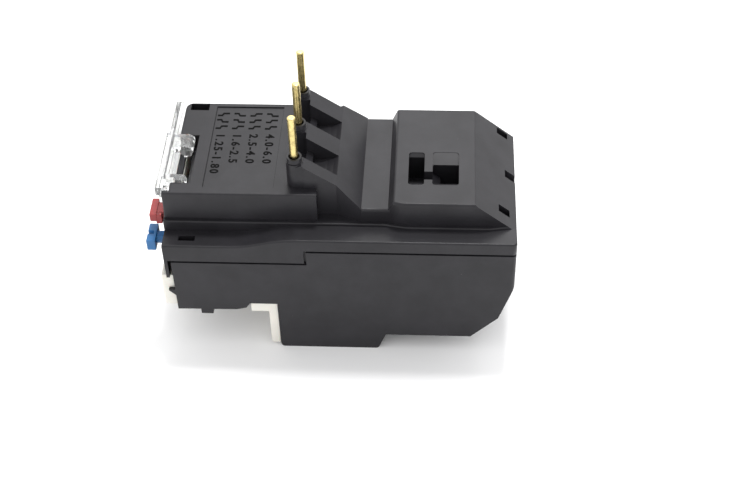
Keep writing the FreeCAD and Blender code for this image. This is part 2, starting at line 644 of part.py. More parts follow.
def top_cover():
    outside = [ledge_body(), plinth_body(), deck_body(), deck_cheek(), saddle_body(), hump_body(),
               wedge_body(), front_skirt()]
    for x, (left, right) in zip(PIN_X, ARM_SIDES):
        outside += pin_post(x, left, right)
    for one, other in zip(ARM_SIDES, ARM_SIDES[1:]):
        outside.append(cross_rib(one[1], other[0]))
    shell = cut(joined(outside), cover_cavity())
    under_deck = DECK_TOP - WALL + LAP
    inner_front = FACE_FRONT + WALL - LAP
    blocks = [
        box(-6.2, HOOK_NEAR + 3, HOOK_FRONT_Y[0] - WALL, HOOK_REAR_Y[1] + WALL, HOOK_FLOOR - 1.2,
            HUMP_TOP - WALL + LAP),
        box(NOTCH_LEFT - WALL, NOTCH_RIGHT + WALL, inner_front, NOTCH_REAR + 1.5, NOTCH_FLOOR - 1.2,
            under_deck),
        box(8.0, CHEEK_LEFT - WALL + 1 + LAP, STOP_SEAT, STOP_SEAT + 1.2, LEDGE_FRONT - 1.1, under_deck),
        box(RESET_X - 2.6, RESET_X + 2.6, RESET_SEAT, RESET_SEAT + 1.4, RESET_Z - 3.1,
            LEDGE_FRONT - WALL + LAP),
    ]
    return cut(joined([shell] + blocks), cover_openings() + latch_recess() + parting_rebate())


# Front pieces

def window():
    """Clear cover: plate with an ear over the buttons, top lip, finger grip, two lugs with stub pins."""
    step = PLATE_RIGHT + 0.2
    outline = [
        (WINDOW_LEFT, WINDOW_BOTTOM), (step, WINDOW_BOTTOM), (step, WINDOW_EAR - 1.6),
        (step + 1.7, WINDOW_EAR), (WINDOW_RIGHT, WINDOW_EAR), (WINDOW_RIGHT, WINDOW_TOP),
        (WINDOW_LEFT, WINDOW_TOP),
    ]
    plate = front_prism(outline, WINDOW_FRONT, WINDOW_BACK)
    plate = rounded(plate, 0.4, lambda c, e: near(c.y, WINDOW_FRONT))
    lip = box(WINDOW_LEFT, CHEEK_LEFT - 1, WINDOW_BACK - LAP, WINDOW_BACK + 0.9, DECK_TOP + 0.1, WINDOW_TOP)
    grip = box(NOTCH_LEFT, WINDOW_RIGHT, WINDOW_FRONT - WINDOW_GRIP, WINDOW_FRONT + 0.5, WINDOW_TOP - 2.8,
               WINDOW_TOP)
    grip = rounded(grip, 0.4, lambda c, e: near(c.y, WINDOW_FRONT - WINDOW_GRIP))
    pieces = [plate, lip, grip]
    for x0, x1, stub in ((-8.0, -2.6, NOTCH_LEFT - 1.3), (8.4, 10.7, NOTCH_RIGHT + 1.3)):
        arm = box(x0, x1, WINDOW_BACK - LAP, HINGE_Y, HINGE_Z - LAP, HINGE_Z + HINGE_R)
        barrel = rod(HINGE_R, V(x0, HINGE_Y, HINGE_Z), V(x1, HINGE_Y, HINGE_Z))
        root = x0 + 0.5 if stub < x0 else x1 - 0.5
        ends = sorted([root, stub])
        pin = rod(HINGE_PIN_R, V(ends[0], HINGE_Y, HINGE_Z), V(ends[1], HINGE_Y, HINGE_Z))
        pieces += [arm, barrel, pin]
    return joined(pieces)


def dial_plate():
    """Ivory scale plate with the dial's round recess, its bearing and the flag's slot."""
    plate = box(PLATE_LEFT, PLATE_RIGHT, PLATE_FRONT, PLATE_BACK, PLATE_BOTTOM, PLATE_TOP)
    plate = rounded(plate, 0.5, lambda c, e: near(c.y, PLATE_FRONT))
    recess = depth_rod(DIAL_R + 0.25, DIAL_X, DIAL_Z, PLATE_FRONT - 1, PLATE_FRONT + 1.7)
    bearing = depth_rod(DIAL_SHAFT_R + SLIP, DIAL_X, DIAL_Z, PLATE_FRONT, PLATE_BACK + 1)
    slot = box(FLAG_X - 2.1, FLAG_X + 2.1, PLATE_FRONT - 1, PLATE_BACK + 1, FLAG_Z - 3.6, FLAG_Z + 2.2)
    return cut(plate, [recess, bearing, slot])


def spiral_cam(y0, y1):
    """Cam whose rim climbs evenly with the dial's angle."""
    steps = 24
    points = []
    for k in range(steps + 1):
        turn = math.radians(300 * k / steps)
        radius = 2.6 + 2.2 * k / steps
        points.append(V(DIAL_X + radius * math.cos(turn), y0, DIAL_Z + radius * math.sin(turn)))
    rim = Part.BSplineCurve()
    rim.interpolate(points)
    back = Part.makePolygon([points[-1], points[0]])
    return Part.Face(Part.Wire([rim.toShape()] + back.Edges)).extrude(V(0, y1 - y0, 0))


def setting_dial():
    """Slotted dial with a pointer mark, its shaft and spiral cam."""
    front = PLATE_FRONT - DIAL_PROUD
    cam_end = AUX_PLATE_BACK - 0.6
    face = depth_rod(DIAL_R, DIAL_X, DIAL_Z, front, PLATE_FRONT + 1.4)
    face = rounded(face, 0.4, lambda c, e: near(c.y, front))
    shaft = depth_rod(DIAL_SHAFT_R, DIAL_X, DIAL_Z, PLATE_FRONT + 1, cam_end - LAP)
    slot = box(DIAL_X - 3.2, DIAL_X + 3.2, front - 1, front + 1.0, DIAL_Z - 0.5, DIAL_Z + 0.5)
    mark = front_prism([(DIAL_X - 0.7, DIAL_Z + DIAL_R - 2.0), (DIAL_X + 0.7, DIAL_Z + DIAL_R - 2.0),
                        (DIAL_X, DIAL_Z + DIAL_R - 0.5)], front - 1, front + 0.4)
    return cut(joined([face, shaft, spiral_cam(cam_end - 1.8, cam_end)]), [slot, mark])


def stop_button():
    """Red push button: bar-shaped cap, a lower flange, a flat stem and a keeper behind the front wall."""
    right = STOP_X + STOP_HALF
    cap_back = STOP_FRONT + 1.9
    flange_back = cap_back + 1.4
    inside = FACE_FRONT + WALL + 0.1
    cap = box(STOP_X - STOP_HALF, right, STOP_FRONT, cap_back, STOP_Z - 0.6, STOP_Z + 1.9)
    cap = rounded(cap, 0.3, lambda c, e: near(c.y, STOP_FRONT))
    flange = box(right - 3.5, right - 0.1, cap_back - LAP, flange_back, STOP_Z - 1.5, STOP_Z + 1.6)
    left = STOP_X - STOP_STEM_HALF
    stem_right = STOP_X + STOP_STEM_HALF
    stem = box(left, stem_right, cap_back - LAP, STOP_STEM_END, STOP_Z - 1.7, STOP_Z + 1.7)
    keeper = box(left, stem_right, inside, inside + 1.3, STOP_Z - 2.6, STOP_Z + 2.6)
    return joined([cap, flange, stem, keeper])


def flatted_rod(radius, flat, y0, y1):
    """Round shaft of the reset knob with two flats."""
    bar = depth_rod(radius, RESET_X, RESET_Z, y0, y1)
    return bar.common(box(RESET_X - radius, RESET_X + radius, y0, y1, RESET_Z - flat, RESET_Z + flat))


def reset_button():
    """Blue reset knob: oblong head split by a driver slot, on a flatted shaft with a clip groove."""
    head_back = RESET_FRONT + 2.5
    groove_end = RESET_GROOVE_Y + RESET_GROOVE
    head = box(RESET_X - 3.45, RESET_X + 3.45, RESET_FRONT, head_back, RESET_Z - 1.75, RESET_Z + 1.75)
    head = rounded(head, 0.25, lambda c, e: near(c.y, RESET_FRONT))
    shaft = flatted_rod(RESET_SHAFT_R, RESET_FLAT, head_back - LAP, RESET_SHAFT_END)
    slot = box(RESET_X - 0.6, RESET_X + 0.6, RESET_FRONT - 1, RESET_FRONT + 1.7, RESET_Z - 3, RESET_Z + 3)
    groove = depth_rod(RESET_SHAFT_R + 1, RESET_X, RESET_Z, RESET_GROOVE_Y, groove_end)
    core = flatted_rod(RESET_SHAFT_R - 0.5, RESET_FLAT - 0.2, RESET_GROOVE_Y - 1, groove_end + 1)
    return cut(joined([head, shaft]), [slot, groove.cut(core)])


def reset_collar():
    """Selector collar that the knob slides through and turns between hand and automatic reset."""
    inside = FACE_FRONT + WALL + 0.1
    spigot = depth_rod(2.2, RESET_X, RESET_Z, FRONT + 0.1, inside + LAP)
    flange = depth_rod(2.7, RESET_X, RESET_Z, inside, RESET_COLLAR_END)
    bore = flatted_rod(RESET_SHAFT_R + SLIP, RESET_FLAT + SLIP, FRONT - 1, RESET_COLLAR_END + 1)
    return joined([spigot, flange]).cut(bore)


def reset_clip():
    """Spring clip in the knob's groove."""
    front = RESET_GROOVE_Y + 0.1
    back = RESET_GROOVE_Y + RESET_GROOVE - 0.1
    ring = depth_rod(2.4, RESET_X, RESET_Z, front, back)
    mouth = box(RESET_X - 0.8, RESET_X + 0.8, front - 1, back + 1, RESET_Z - 4, RESET_Z)
    seat = flatted_rod(RESET_SHAFT_R - 0.45, RESET_FLAT - 0.15, front - 1, back + 1)
    return cut(ring, [seat, mouth])


def coil_spring(radius, wire, turns, start, end):
    """Compression spring along the line from start to end, its wire drawn eight-sided."""
    sides = 8
    steps = 12 * turns
    rise = (end - start).Length - wire
    corners = []
    for k in range(sides):
        spin = 2 * math.pi * k / sides
        corners.append(V(radius + wire / 2 * math.cos(spin), 0, wire / 2 * (1 + math.sin(spin))))
    sections = []
    for k in range(steps + 1):
        section = Part.makePolygon(corners + corners[:1])
        section.rotate(V(0, 0, 0), V(0, 0, 1), 360 * turns * k / steps)
        section.translate(V(0, 0, rise * k / steps))
        sections.append(section)
    coil = Part.makeLoft(sections, True, True)
    coil.Placement = FreeCAD.Placement(start, FreeCAD.Rotation(V(0, 0, 1), end - start))
    return coil


# Terminals

def load_shroud():
    """Ivory L-shaped shroud in front of the load terminals, with screw access holes."""
    half = HALF_WIDTH - 0.6
    back = BLOCK_FRONT - LAP
    top = box(-half, half, RECESS_FRONT + 0.1, back, SHROUD_BAR, RECESS_ROOF - SLIP)
    front = box(-half, half, SHROUD_FRONT, back, SHROUD_BOTTOM, SHROUD_BAR + LAP)
    body = joined([top, front])
    body = rounded(body, 0.8, lambda c, e: near(c.z, SHROUD_BOTTOM) and near(c.y, SHROUD_FRONT))
    holes = [depth_rod(3.8, x, LOAD_Z, SHROUD_FRONT - 1, BLOCK_FRONT) for x in LOAD_X]
    return cut(body, holes)


def aux_strip():
    """Ivory strip in front of the auxiliary terminals, with screw access holes."""
    half = HALF_WIDTH - 1.2
    body = box(-half, half, AUX_STRIP_FRONT, BASE_FRONT - 0.1, AUX_Z - 6.4, SKIRT_BOTTOM - LAP)
    body = rounded(body, 0.7, lambda c, e: near(c.y, AUX_STRIP_FRONT))
    holes = [depth_rod(2.9, x, AUX_Z, AUX_STRIP_FRONT - 1, BASE_FRONT + 1) for x in AUX_X]
    return cut(body, holes)


def slotted_screw(x, z, head_r, shank_r, head_y, seat_y, tip_y):
    """Cheese-head screw along +Y with a driver slot."""
    head = depth_rod(head_r, x, z, head_y, seat_y)
    shank = depth_rod(shank_r, x, z, seat_y - 0.1, tip_y)
    slot = box(x - head_r - 1, x + head_r + 1, head_y - 1, head_y + 0.9, z - 0.45, z + 0.45)
    return joined([head, shank]).cut(slot)


def drilled_plate(x, z, half_x, half_z, y0, y1, hole_r):
    plate = box(x - half_x, x + half_x, y0, y1, z - half_z, z + half_z)
    return plate.cut(depth_rod(hole_r, x, z, y0 - 1, y1 + 1))


def load_busbar(x):
    """Bent copper bar from the terminal screw up to the heater's front lead."""
    left = x - BUSBAR_HALF
    right = x + BUSBAR_HALF
    top = CHAMBER_FLOOR + BUSBAR_T
    upright = box(left, right, BUSBAR_FRONT, BUSBAR_BACK, 3.0, top)
    leg = box(left, right, BUSBAR_FRONT, 6.0, CHAMBER_FLOOR, top)
    return joined([upright, leg]).cut(depth_rod(LOAD_SCREW_R + SLIP, x, LOAD_Z, BUSBAR_FRONT - 1, 0))


def aux_terminal(x, contact_x, normally_open):
    """Upright plate for the screw and a tongue that carries the fixed contact."""
    half = AUX_CELL - LAP
    plate = drilled_plate(x, AUX_Z, half, 4.9, AUX_PLATE_FRONT, AUX_PLATE_BACK, AUX_SCREW_R + SLIP)
    side = 1 if contact_x > x else -1
    tongue_x = contact_x - side * CONTACT_SPREAD
    tongue_top = TONGUE_Z + 0.9
    tongue = box(tongue_x - 1.4, tongue_x + 1.4, AUX_PLATE_FRONT, CONTACT_Y + 1.2, TONGUE_Z, tongue_top)
    low, high = (tongue_top - 0.1, tongue_top + 0.7) if normally_open else (TONGUE_Z - 0.7, TONGUE_Z + 0.1)
    button = rod(CONTACT_R, V(tongue_x, CONTACT_Y, low), V(tongue_x, CONTACT_Y, high))
    return joined([plate, tongue, button])


# Heaters and trip gear

def plug_pin(x):
    """Brass pin: free end above the post, slimmer neck in it, collar under the deck and a thicker foot."""
    under_deck = DECK_TOP - WALL - 0.02
    free = rod(PIN_R, V(x, PIN_Y, POST_MOUTH), V(x, PIN_Y, PIN_TIP))
    free = rounded(free, 0.35, lambda c, e: near(c.z, PIN_TIP))
    neck = rod(PIN_NECK_R, V(x, PIN_Y, under_deck - 1), V(x, PIN_Y, POST_MOUTH + 1))
    collar = rod(PIN_COLLAR_R, V(x, PIN_Y, under_deck - 1.5), V(x, PIN_Y, under_deck))
    shank = rod(PIN_SHANK_R, V(x, PIN_Y, STRAP_Z + STRAP_T), V(x, PIN_Y, under_deck - 1))
    return joined([free, neck, collar, shank])


def line_strap(pin_x, heater_x):
    """Copper strap from a pin's foot back and down to the bimetal's root."""
    left = min(pin_x, heater_x) - STRAP_HALF
    right = max(pin_x, heater_x) + STRAP_HALF
    back = ROOT_Y + STRAP_T
    run = box(left, right, PIN_Y - 2.4, back, STRAP_Z, STRAP_Z + STRAP_T)
    leg = box(heater_x - STRAP_HALF, heater_x + STRAP_HALF, ROOT_Y, back, 19.0, STRAP_Z + STRAP_T)
    slot = box(heater_x - STRIP_T / 2, heater_x + STRIP_T / 2, ROOT_Y - 1, back + 1, STRIP_BOTTOM, STRIP_TOP)
    return joined([run, leg]).cut(slot)


def bimetal(x):
    """Flat bimetal strip, rounded at its free tip."""
    half = STRIP_T / 2
    strip = box(x - half, x + half, STRIP_TIP, ROOT_Y + STRAP_T, STRIP_BOTTOM, STRIP_TOP)
    return rounded(strip, 1.4, lambda c, e: near(c.y, STRIP_TIP) and near(e.Length, STRIP_T))


def ribbon_crossing(x, half_x, y_left, y_right, ribbon, z):
    """Slanting stretch of the ribbon over or under the strip."""
    return plan_prism([(x - half_x, y_left - ribbon), (x + half_x, y_right - ribbon),
                       (x + half_x, y_right + ribbon), (x - half_x, y_left + ribbon)], z, z + RIBBON_T)


def heater_winding(x):
    """Flat ribbon wound round the strip, with a lead at each end."""
    turns = 7
    pitch = 4.0
    half_x = 2.25
    ribbon = 0.7
    over = WINDING_TOP - RIBBON_T
    pieces = []
    for turn in range(turns):
        y = WINDING_FRONT + turn * pitch
        y_mid = y + pitch / 2
        left = x - half_x
        right = x + half_x - RIBBON_T
        for edge, y_bar in ((left, y), (right, y_mid)):
            pieces.append(box(edge, edge + RIBBON_T, y_bar - ribbon, y_bar + ribbon, WINDING_BOTTOM,
                              WINDING_TOP))
        pieces.append(ribbon_crossing(x, half_x, y, y_mid, ribbon, over))
        if turn < turns - 1:
            pieces.append(ribbon_crossing(x, half_x, y + pitch, y_mid, ribbon, WINDING_BOTTOM))
    lead_top = WINDING_BOTTOM + RIBBON_T
    lead = 1.45
    front_lead = box(x - half_x, x - half_x + lead, 4.9, WINDING_FRONT + ribbon, WINDING_BOTTOM, lead_top)
    rear_lead = box(x + half_x - lead, x + half_x, y_mid - ribbon, ROOT_Y, WINDING_BOTTOM, lead_top)
    return joined(pieces + [front_lead, rear_lead])


def insulating_sleeve(x):
    """Glass-fibre tube between the strip and its winding."""
    outer = box(x - 1.5, x + 1.5, WINDING_FRONT - 1.4, ROOT_Y - 2.2, STRIP_BOTTOM - 0.8, STRIP_TOP + 0.8)
    return outer.cut(box(x - 0.9, x + 0.9, 0, ROOT_Y, STRIP_BOTTOM - 0.3, STRIP_TOP + 0.3))


def trip_slide(y, lead, lag):
    """Bar across the three strip tips; each window leaves lead to the left and lag to the right."""
    bar = box(SLIDE_LEFT, SLIDE_RIGHT, y, y + SLIDE_T, SLIDE_BOTTOM, SLIDE_TOP)
    bar = rounded(bar, 0.6, lambda c, e: near(e.Length, SLIDE_T))
    half = STRIP_T / 2
    windows = [box(x - half - lead, x + half + lag, y - 1, y + SLIDE_T + 1,
                   STRIP_BOTTOM - 0.3, STRIP_TOP + 0.5) for x in HEATER_X]
    return cut(bar, windows)


def differential_lever():
    """Small lever in front of the slides whose nose pushes the trip lever."""
    left = SLIDE_RIGHT - 1.5
    nose = SLIDE_RIGHT + 1.0
    lever = front_prism([(left, 22.4), (SLIDE_RIGHT, 22.4), (nose, 25.2), (nose, 26.8), (SLIDE_RIGHT, 29.6),
                         (left, 29.6)], PUSH_Y - SLIDE_T - 0.1, PUSH_Y - 0.1)
    return rounded(lever, 0.5, lambda c, e: near(e.Length, SLIDE_T))


def trip_lever():
    """Hub on the trip pin, compensating strip towards the slides and arm over the crossbar."""
    hub = depth_rod(2.2, TRIP_X, TRIP_Z, CARRIER_SPRING_Y, TRIP_PIN_REAR - 2)
    strip = box(TRIP_X - 0.4, TRIP_X + 0.4, -0.6, 4.9, 25.0, TRIP_Z)
    arm = box(9.0, TRIP_X, CROSSBAR_BACK + 0.3, -19.0, TRIP_Z - 1.0, TRIP_Z + 1.0)
    bore = depth_rod(TRIP_PIN_R + SLIP, TRIP_X, TRIP_Z, TRIP_PIN_FRONT - 1, TRIP_PIN_REAR + 1)
    return joined([hub, strip, arm]).cut(bore)


def trip_pin():
    return depth_rod(TRIP_PIN_R, TRIP_X, TRIP_Z, TRIP_PIN_FRONT, TRIP_PIN_REAR)


def contact_crossbar():
    """Sliding insulator that carries both bridge contacts; the trip lever pushes its lug down."""
    bar = box(-CROSSBAR_HALF, CROSSBAR_HALF, CROSSBAR_FRONT, CROSSBAR_BACK, CROSSBAR_BOTTOM, CROSSBAR_TOP)
    lug = box(8.8, 11.2, CROSSBAR_BACK - 0.5, -19.2, CROSSBAR_TOP - 3.5, TRIP_Z - 1.3)
    spring_seat = rod(2.3, V(0, CARRIER_SPRING_Y, CROSSBAR_BOTTOM - 1),
                      V(0, CARRIER_SPRING_Y, CROSSBAR_BOTTOM + 5))
    slots = [box(x - 4.8, x + 4.8, CROSSBAR_FRONT - 1, CROSSBAR_BACK + 1, z, z + BRIDGE_T)
             for x, z in zip(CONTACT_X, BRIDGE_Z)]
    return cut(joined([bar, lug]), [spring_seat] + slots)


def bridge_contact(x, z, up):
    """Moving contact strip with a silver button at each end."""
    strip = box(x - 4.7, x + 4.7, CONTACT_Y - 1.2, CROSSBAR_BACK - LAP, z, z + BRIDGE_T)
    low, high = (z + BRIDGE_T - 0.1, z + BRIDGE_T + 0.35) if up else (z - 0.35, z + 0.1)
    buttons = [rod(CONTACT_R, V(end, CONTACT_Y, low), V(end, CONTACT_Y, high))
               for end in (x - CONTACT_SPREAD, x + CONTACT_SPREAD)]
    return joined([strip] + buttons)


def trip_flag():
    """Indicator that rises from the crossbar and shows in the dial plate's slot."""
    left = FLAG_X - 0.9
    right = FLAG_X + 0.9
    front = PLATE_FRONT + 0.4
    stem = box(left, right, CROSSBAR_FRONT + 0.1, CARRIER_SPRING_Y, CROSSBAR_TOP, FLAG_Z + 1.0)
    arm = box(left, right, front + 1, CARRIER_SPRING_Y, FLAG_Z - 0.9, FLAG_Z + 1.0)
    face = box(FLAG_X - 1.6, FLAG_X + 1.6, front, front + 1.3, FLAG_Z - 1.5, FLAG_Z + 1.6)
    return joined([stem, arm, face])


def save_front():
    save("window", window())
    save("dial_plate", dial_plate())
    save("setting_dial", setting_dial())
    save("stop_button", stop_button())
    save("stop_spring", coil_spring(1.4, 0.4, 5, V(STOP_X, STOP_STEM_END + SLIP, STOP_Z),
                                    V(STOP_X, STOP_SEAT - SLIP, STOP_Z)))
    save("reset_button", reset_button())
    save("reset_collar", reset_collar())
    save("reset_clip", reset_clip())
    save("reset_spring", coil_spring(1.3, 0.4, 5, V(RESET_X, RESET_SHAFT_END + SLIP, RESET_Z),
                                     V(RESET_X, RESET_SEAT - SLIP, RESET_Z)))


def save_terminals():
    save("load_shroud", load_shroud())
    save("aux_strip", aux_strip())
    save("load_screws", Part.makeCompound(
        [slotted_screw(x, LOAD_Z, 3.4, LOAD_SCREW_R, -17.0, -14.6, -2.5) for x in LOAD_X]))
    save("load_clamp_plates", Part.makeCompound(
        [drilled_plate(x, LOAD_Z, 4.8, 4.5, -14.6, -13.2, LOAD_SCREW_R + 0.1) for x in LOAD_X]))
    save("aux_screws", Part.makeCompound(
        [slotted_screw(x, AUX_Z, 2.6, AUX_SCREW_R, -44.6, -42.8, -33.5) for x in AUX_X]))
    save("aux_clamp_washers", Part.makeCompound(
        [drilled_plate(x, AUX_Z, 3.6, 3.6, -42.8, -41.8, AUX_SCREW_R + 0.1) for x in AUX_X]))
    for k, x in enumerate(AUX_X):
        pair = k // 2
        name = ("no_terminal_", "nc_terminal_")[pair] + ("left", "right")[k % 2]
        save(name, aux_terminal(x, CONTACT_X[pair], pair == 0))


def save_phase(k):
    """Everything that one phase's current runs through, and its sleeve."""
    phase = str(k + 1)
    save("plug_pin_" + phase, plug_pin(PIN_X[k]))
    save("line_strap_" + phase, line_strap(PIN_X[k], HEATER_X[k]))
    save("bimetal_" + phase, bimetal(HEATER_X[k]))
    save("heater_winding_" + phase, heater_winding(HEATER_X[k]))
    save("heater_sleeve_" + phase, insulating_sleeve(HEATER_X[k]))
    save("load_busbar_" + phase, load_busbar(LOAD_X[k]))


def save_trip_gear():
    room = TRAVEL + 0.3
    save("push_slide", trip_slide(PUSH_Y, room, 0.15))
    save("differential_slide", trip_slide(DIFFERENTIAL_Y, 0.15, room))
    save("differential_lever", differential_lever())
    save("trip_lever", trip_lever())
    save("trip_pin", trip_pin())
    save("contact_crossbar", contact_crossbar())
    save("no_bridge", bridge_contact(CONTACT_X[0], BRIDGE_Z[0], False))
    save("nc_bridge", bridge_contact(CONTACT_X[1], BRIDGE_Z[1], True))
    save("trip_flag", trip_flag())
    save("contact_spring", coil_spring(1.7, 0.4, 4, V(0, CARRIER_SPRING_Y, CHAMBER_FLOOR + SLIP),
                                       V(0, CARRIER_SPRING_Y, CROSSBAR_BOTTOM + 5 - SLIP)))


def build():
    os.makedirs("parts", exist_ok=True)
    save("base_housing", base_housing())
    save("top_cover", top_cover())
    save_front()
    save_terminals()
    for k in range(len(PIN_X)):
        save_phase(k)
    save_trip_gear()


build()
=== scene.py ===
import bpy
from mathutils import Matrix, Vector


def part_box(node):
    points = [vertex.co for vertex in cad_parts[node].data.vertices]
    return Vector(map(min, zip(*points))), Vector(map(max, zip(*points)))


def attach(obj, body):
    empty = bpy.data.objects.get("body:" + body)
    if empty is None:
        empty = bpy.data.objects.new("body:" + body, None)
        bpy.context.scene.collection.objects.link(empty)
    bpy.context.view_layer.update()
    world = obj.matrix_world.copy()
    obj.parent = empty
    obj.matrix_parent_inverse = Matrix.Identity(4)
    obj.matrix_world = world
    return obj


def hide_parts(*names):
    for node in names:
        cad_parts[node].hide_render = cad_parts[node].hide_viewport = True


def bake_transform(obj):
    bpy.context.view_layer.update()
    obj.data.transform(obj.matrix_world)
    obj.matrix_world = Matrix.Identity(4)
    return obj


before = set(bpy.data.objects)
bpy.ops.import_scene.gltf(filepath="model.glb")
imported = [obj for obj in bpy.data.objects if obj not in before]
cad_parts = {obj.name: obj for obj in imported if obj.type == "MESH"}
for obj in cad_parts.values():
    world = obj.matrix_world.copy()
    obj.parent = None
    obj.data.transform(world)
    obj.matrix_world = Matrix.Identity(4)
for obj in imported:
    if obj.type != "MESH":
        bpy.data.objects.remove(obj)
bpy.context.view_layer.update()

import math

import bmesh
import bpy
from bpy.props import FloatProperty, FloatVectorProperty, PointerProperty
from mathutils import Euler, Vector

bl_info = {
    "name": "Thermal overload relay",
    "version": (1, 0, 0),
    "blender": (4, 5, 0),
    "location": "View3D > Sidebar > Relay",
    "description": "Dresses a three-pole plug-in thermal overload relay and sets it on a pale stage",
    "category": "Object",
}

MM = 0.001
PHASES = (1, 2, 3)

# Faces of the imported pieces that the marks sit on
DECK_TOP = 52.2 * MM
PANEL_DEPTH = 0.3 * MM
PLATE_FRONT = -43.3 * MM
DIAL_X = -10.0 * MM
DIAL_Z = 40.6 * MM
SHROUD_FRONT = -17.65 * MM
LOAD_X = (-14.0 * MM, 0.0, 14.0 * MM)
AUX_X = (-16.2 * MM, -5.4 * MM, 5.4 * MM, 16.2 * MM)

# Number of short lengths each bimetal strip, winding and sleeve is cut into
STRIP_LENGTHS = 24

# Springs: CAD piece, axis, turns, body at the fixed end, body at the moving end,
# and whether the high end is the fixed one
SPRINGS = (
    ("stop_spring", 1, 5.0, "housing", "stop_button", True),
    ("reset_spring", 1, 4.5, "reset_collar", "reset_button", True),
    ("contact_spring", 2, 4.0, "housing", "contact_carrier", False),
)
WIRE_SIDES = 10
WIRE_STEPS = 32

# Setting chart: three rows of step marks above one row of ranges, in four columns
CHART_ROWS = ("udud", "dduu", "uuuu")
CHART_RANGES = ("1.25-1.80", "1.6-2.5", "2.5-4.0", "4.0-6.0")
CHART_X = -17.8 * MM
CHART_Y = -33.2 * MM
COLUMN_PITCH = 4.6 * MM
ROW_PITCH = 2.75 * MM
RANGE_START = -9.5 * MM
PANEL_X = (-20.96 * MM, 12.54 * MM)
PANEL_Y = (-33.75 * MM, -14.75 * MM)
MARK_SPAN = 3.3 * MM
MARK_STEP = 0.45 * MM
BEND_START = 0.38
BEND_END = 0.5
RANGE_SPACING = 1.3

# Scale round the dial, in degrees from its top, and the plain numbers beside the terminals
SCALE_SWEEP = 270.0
SCALE_STEPS = 16
SCALE_RADIUS = 5.25 * MM
TICK_WIDTH = 0.22 * MM
NUMBER_RADIUS = 7.3 * MM
SCALE_NUMBERS = ((-112.5, "4"), (-67.5, "4.5"), (67.5, "5.5"), (112.5, "6"))
CONTROL_NUMBERS = ("97", "98", "95", "96")
CONTROL_NUMBER_DROP = 1.3 * MM
LOAD_NUMBERS = ("2", "4", "6")
LOAD_NUMBER_Z = 3.1 * MM

# Height of a figure as a share of its font's size, and the turns of numbers
FIGURE_HEIGHT = 0.7
FLAT = Euler((0.0, 0.0, 0.0))
UPRIGHT = Euler((math.pi / 2, 0.0, 0.0))

# Soft edges
WELD_DISTANCE = 0.0005 * MM
FLAT_ANGLE = math.radians(0.3)
SHARP_ANGLE = math.radians(35)
EDGE_SEGMENTS = 2

# Dust on the black moulding
DUST_COLOUR = (0.22, 0.21, 0.20)
SPECK_CORE = 0.6

# Lamps, what they point at, and how far to each side the surroundings change
KEY_PLACE = (-0.22, 0.06, 0.95)
KEY_SIZE = 0.12
BACK_PLACE = (-0.75, 0.15, 0.80)
BACK_SIZE = 0.8
LAMP_TARGET = (0.0, 0.0, 0.03)
SENSOR_WIDTH = 36.0
SKY_EDGE = 0.6


def colour(name, description, default):
    """Colour property in linear red, green and blue."""
    return FloatVectorProperty(name=name, description=description, default=default,
                               subtype="COLOR", size=3, min=0.0, max=1.0)


def length(name, description, default):
    """Length property in metres."""
    return FloatProperty(name=name, description=description, default=default,
                         unit="LENGTH", min=0.0, precision=5)


def power(name, description, default):
    """Lamp power property in watts."""
    return FloatProperty(name=name, description=description, default=default, unit="POWER", min=0.0)


class RelayColours(bpy.types.PropertyGroup):
    black: colour("Black moulding", "Housing and cover", (0.0165, 0.0158, 0.0186))
    # Marks: print on the ivory plate, strip and shroud; on the deck chart the same near-black is
    # painted shade of the moulded lettering and the recess edge
    mark: colour("Marks", "Dull black marks and numbers", (0.003, 0.003, 0.003))
    ivory: colour("Ivory moulding", "Shroud, strip and scale plate", (0.74, 0.72, 0.66))
    red: colour("Red moulding", "Stop button", (0.29, 0.022, 0.022))
    blue: colour("Blue moulding", "Reset knob", (0.010, 0.125, 0.33))
    grey: colour("Grey moulding", "Dial and inner insulators", (0.30, 0.30, 0.31))
    orange: colour("Orange moulding", "Trip flag", (0.75, 0.20, 0.03))
    clear: colour("Clear moulding", "Hinged window", (0.97, 0.98, 0.975))
    brass: colour("Brass", "Plug pins and terminals", (0.76, 0.62, 0.27))
    copper: colour("Copper", "Straps and busbars", (0.72, 0.35, 0.20))
    zinc: colour("Zinc-plated steel", "Screws and clamp plates", (0.62, 0.62, 0.60))
    spring: colour("Spring steel", "Springs and pin", (0.42, 0.41, 0.40))
    bimetal: colour("Bimetal", "Strips", (0.50, 0.47, 0.43))
    ribbon: colour("Heater ribbon", "Windings", (0.33, 0.30, 0.28))
    sleeve: colour("Glass sleeve", "Insulation under the windings", (0.74, 0.70, 0.60))
    floor: colour("Floor", "Stage floor", (0.93, 0.93, 0.935))


class RelaySizes(bpy.types.PropertyGroup):
    edge: length("Edge softness", "Width of the soft edge on moulded pieces", 0.18 * MM)
    metal_edge: length("Metal edge softness", "Width of the soft edge on metal pieces", 0.08 * MM)
    relief: length("Mark relief", "How far marks and numbers stand off their face", 0.08 * MM)
    stroke: length("Mark stroke", "Width of the lines of the step marks", 0.6 * MM)
    number: length("Deck number height", "Height of the numbers on the deck", 2.3 * MM)
    boldness: length("Boldness", "How much the deck numbers are thickened", 0.07 * MM)
    # The line round the chart is painted shade: a dark line where the chart's recessed edge is only
    # shaded
    border_shade_line: length("Frame line", "Width of the line round the chart", 0.16 * MM)
    small_number: length("Small number height", "Height of the dial and terminal numbers", 1.4 * MM)
    wire: length("Spring wire", "Thickness of the springs' wire", 0.4 * MM)
    tick: length("Dial tick length", "Length of the ticks round the dial", 0.5 * MM)


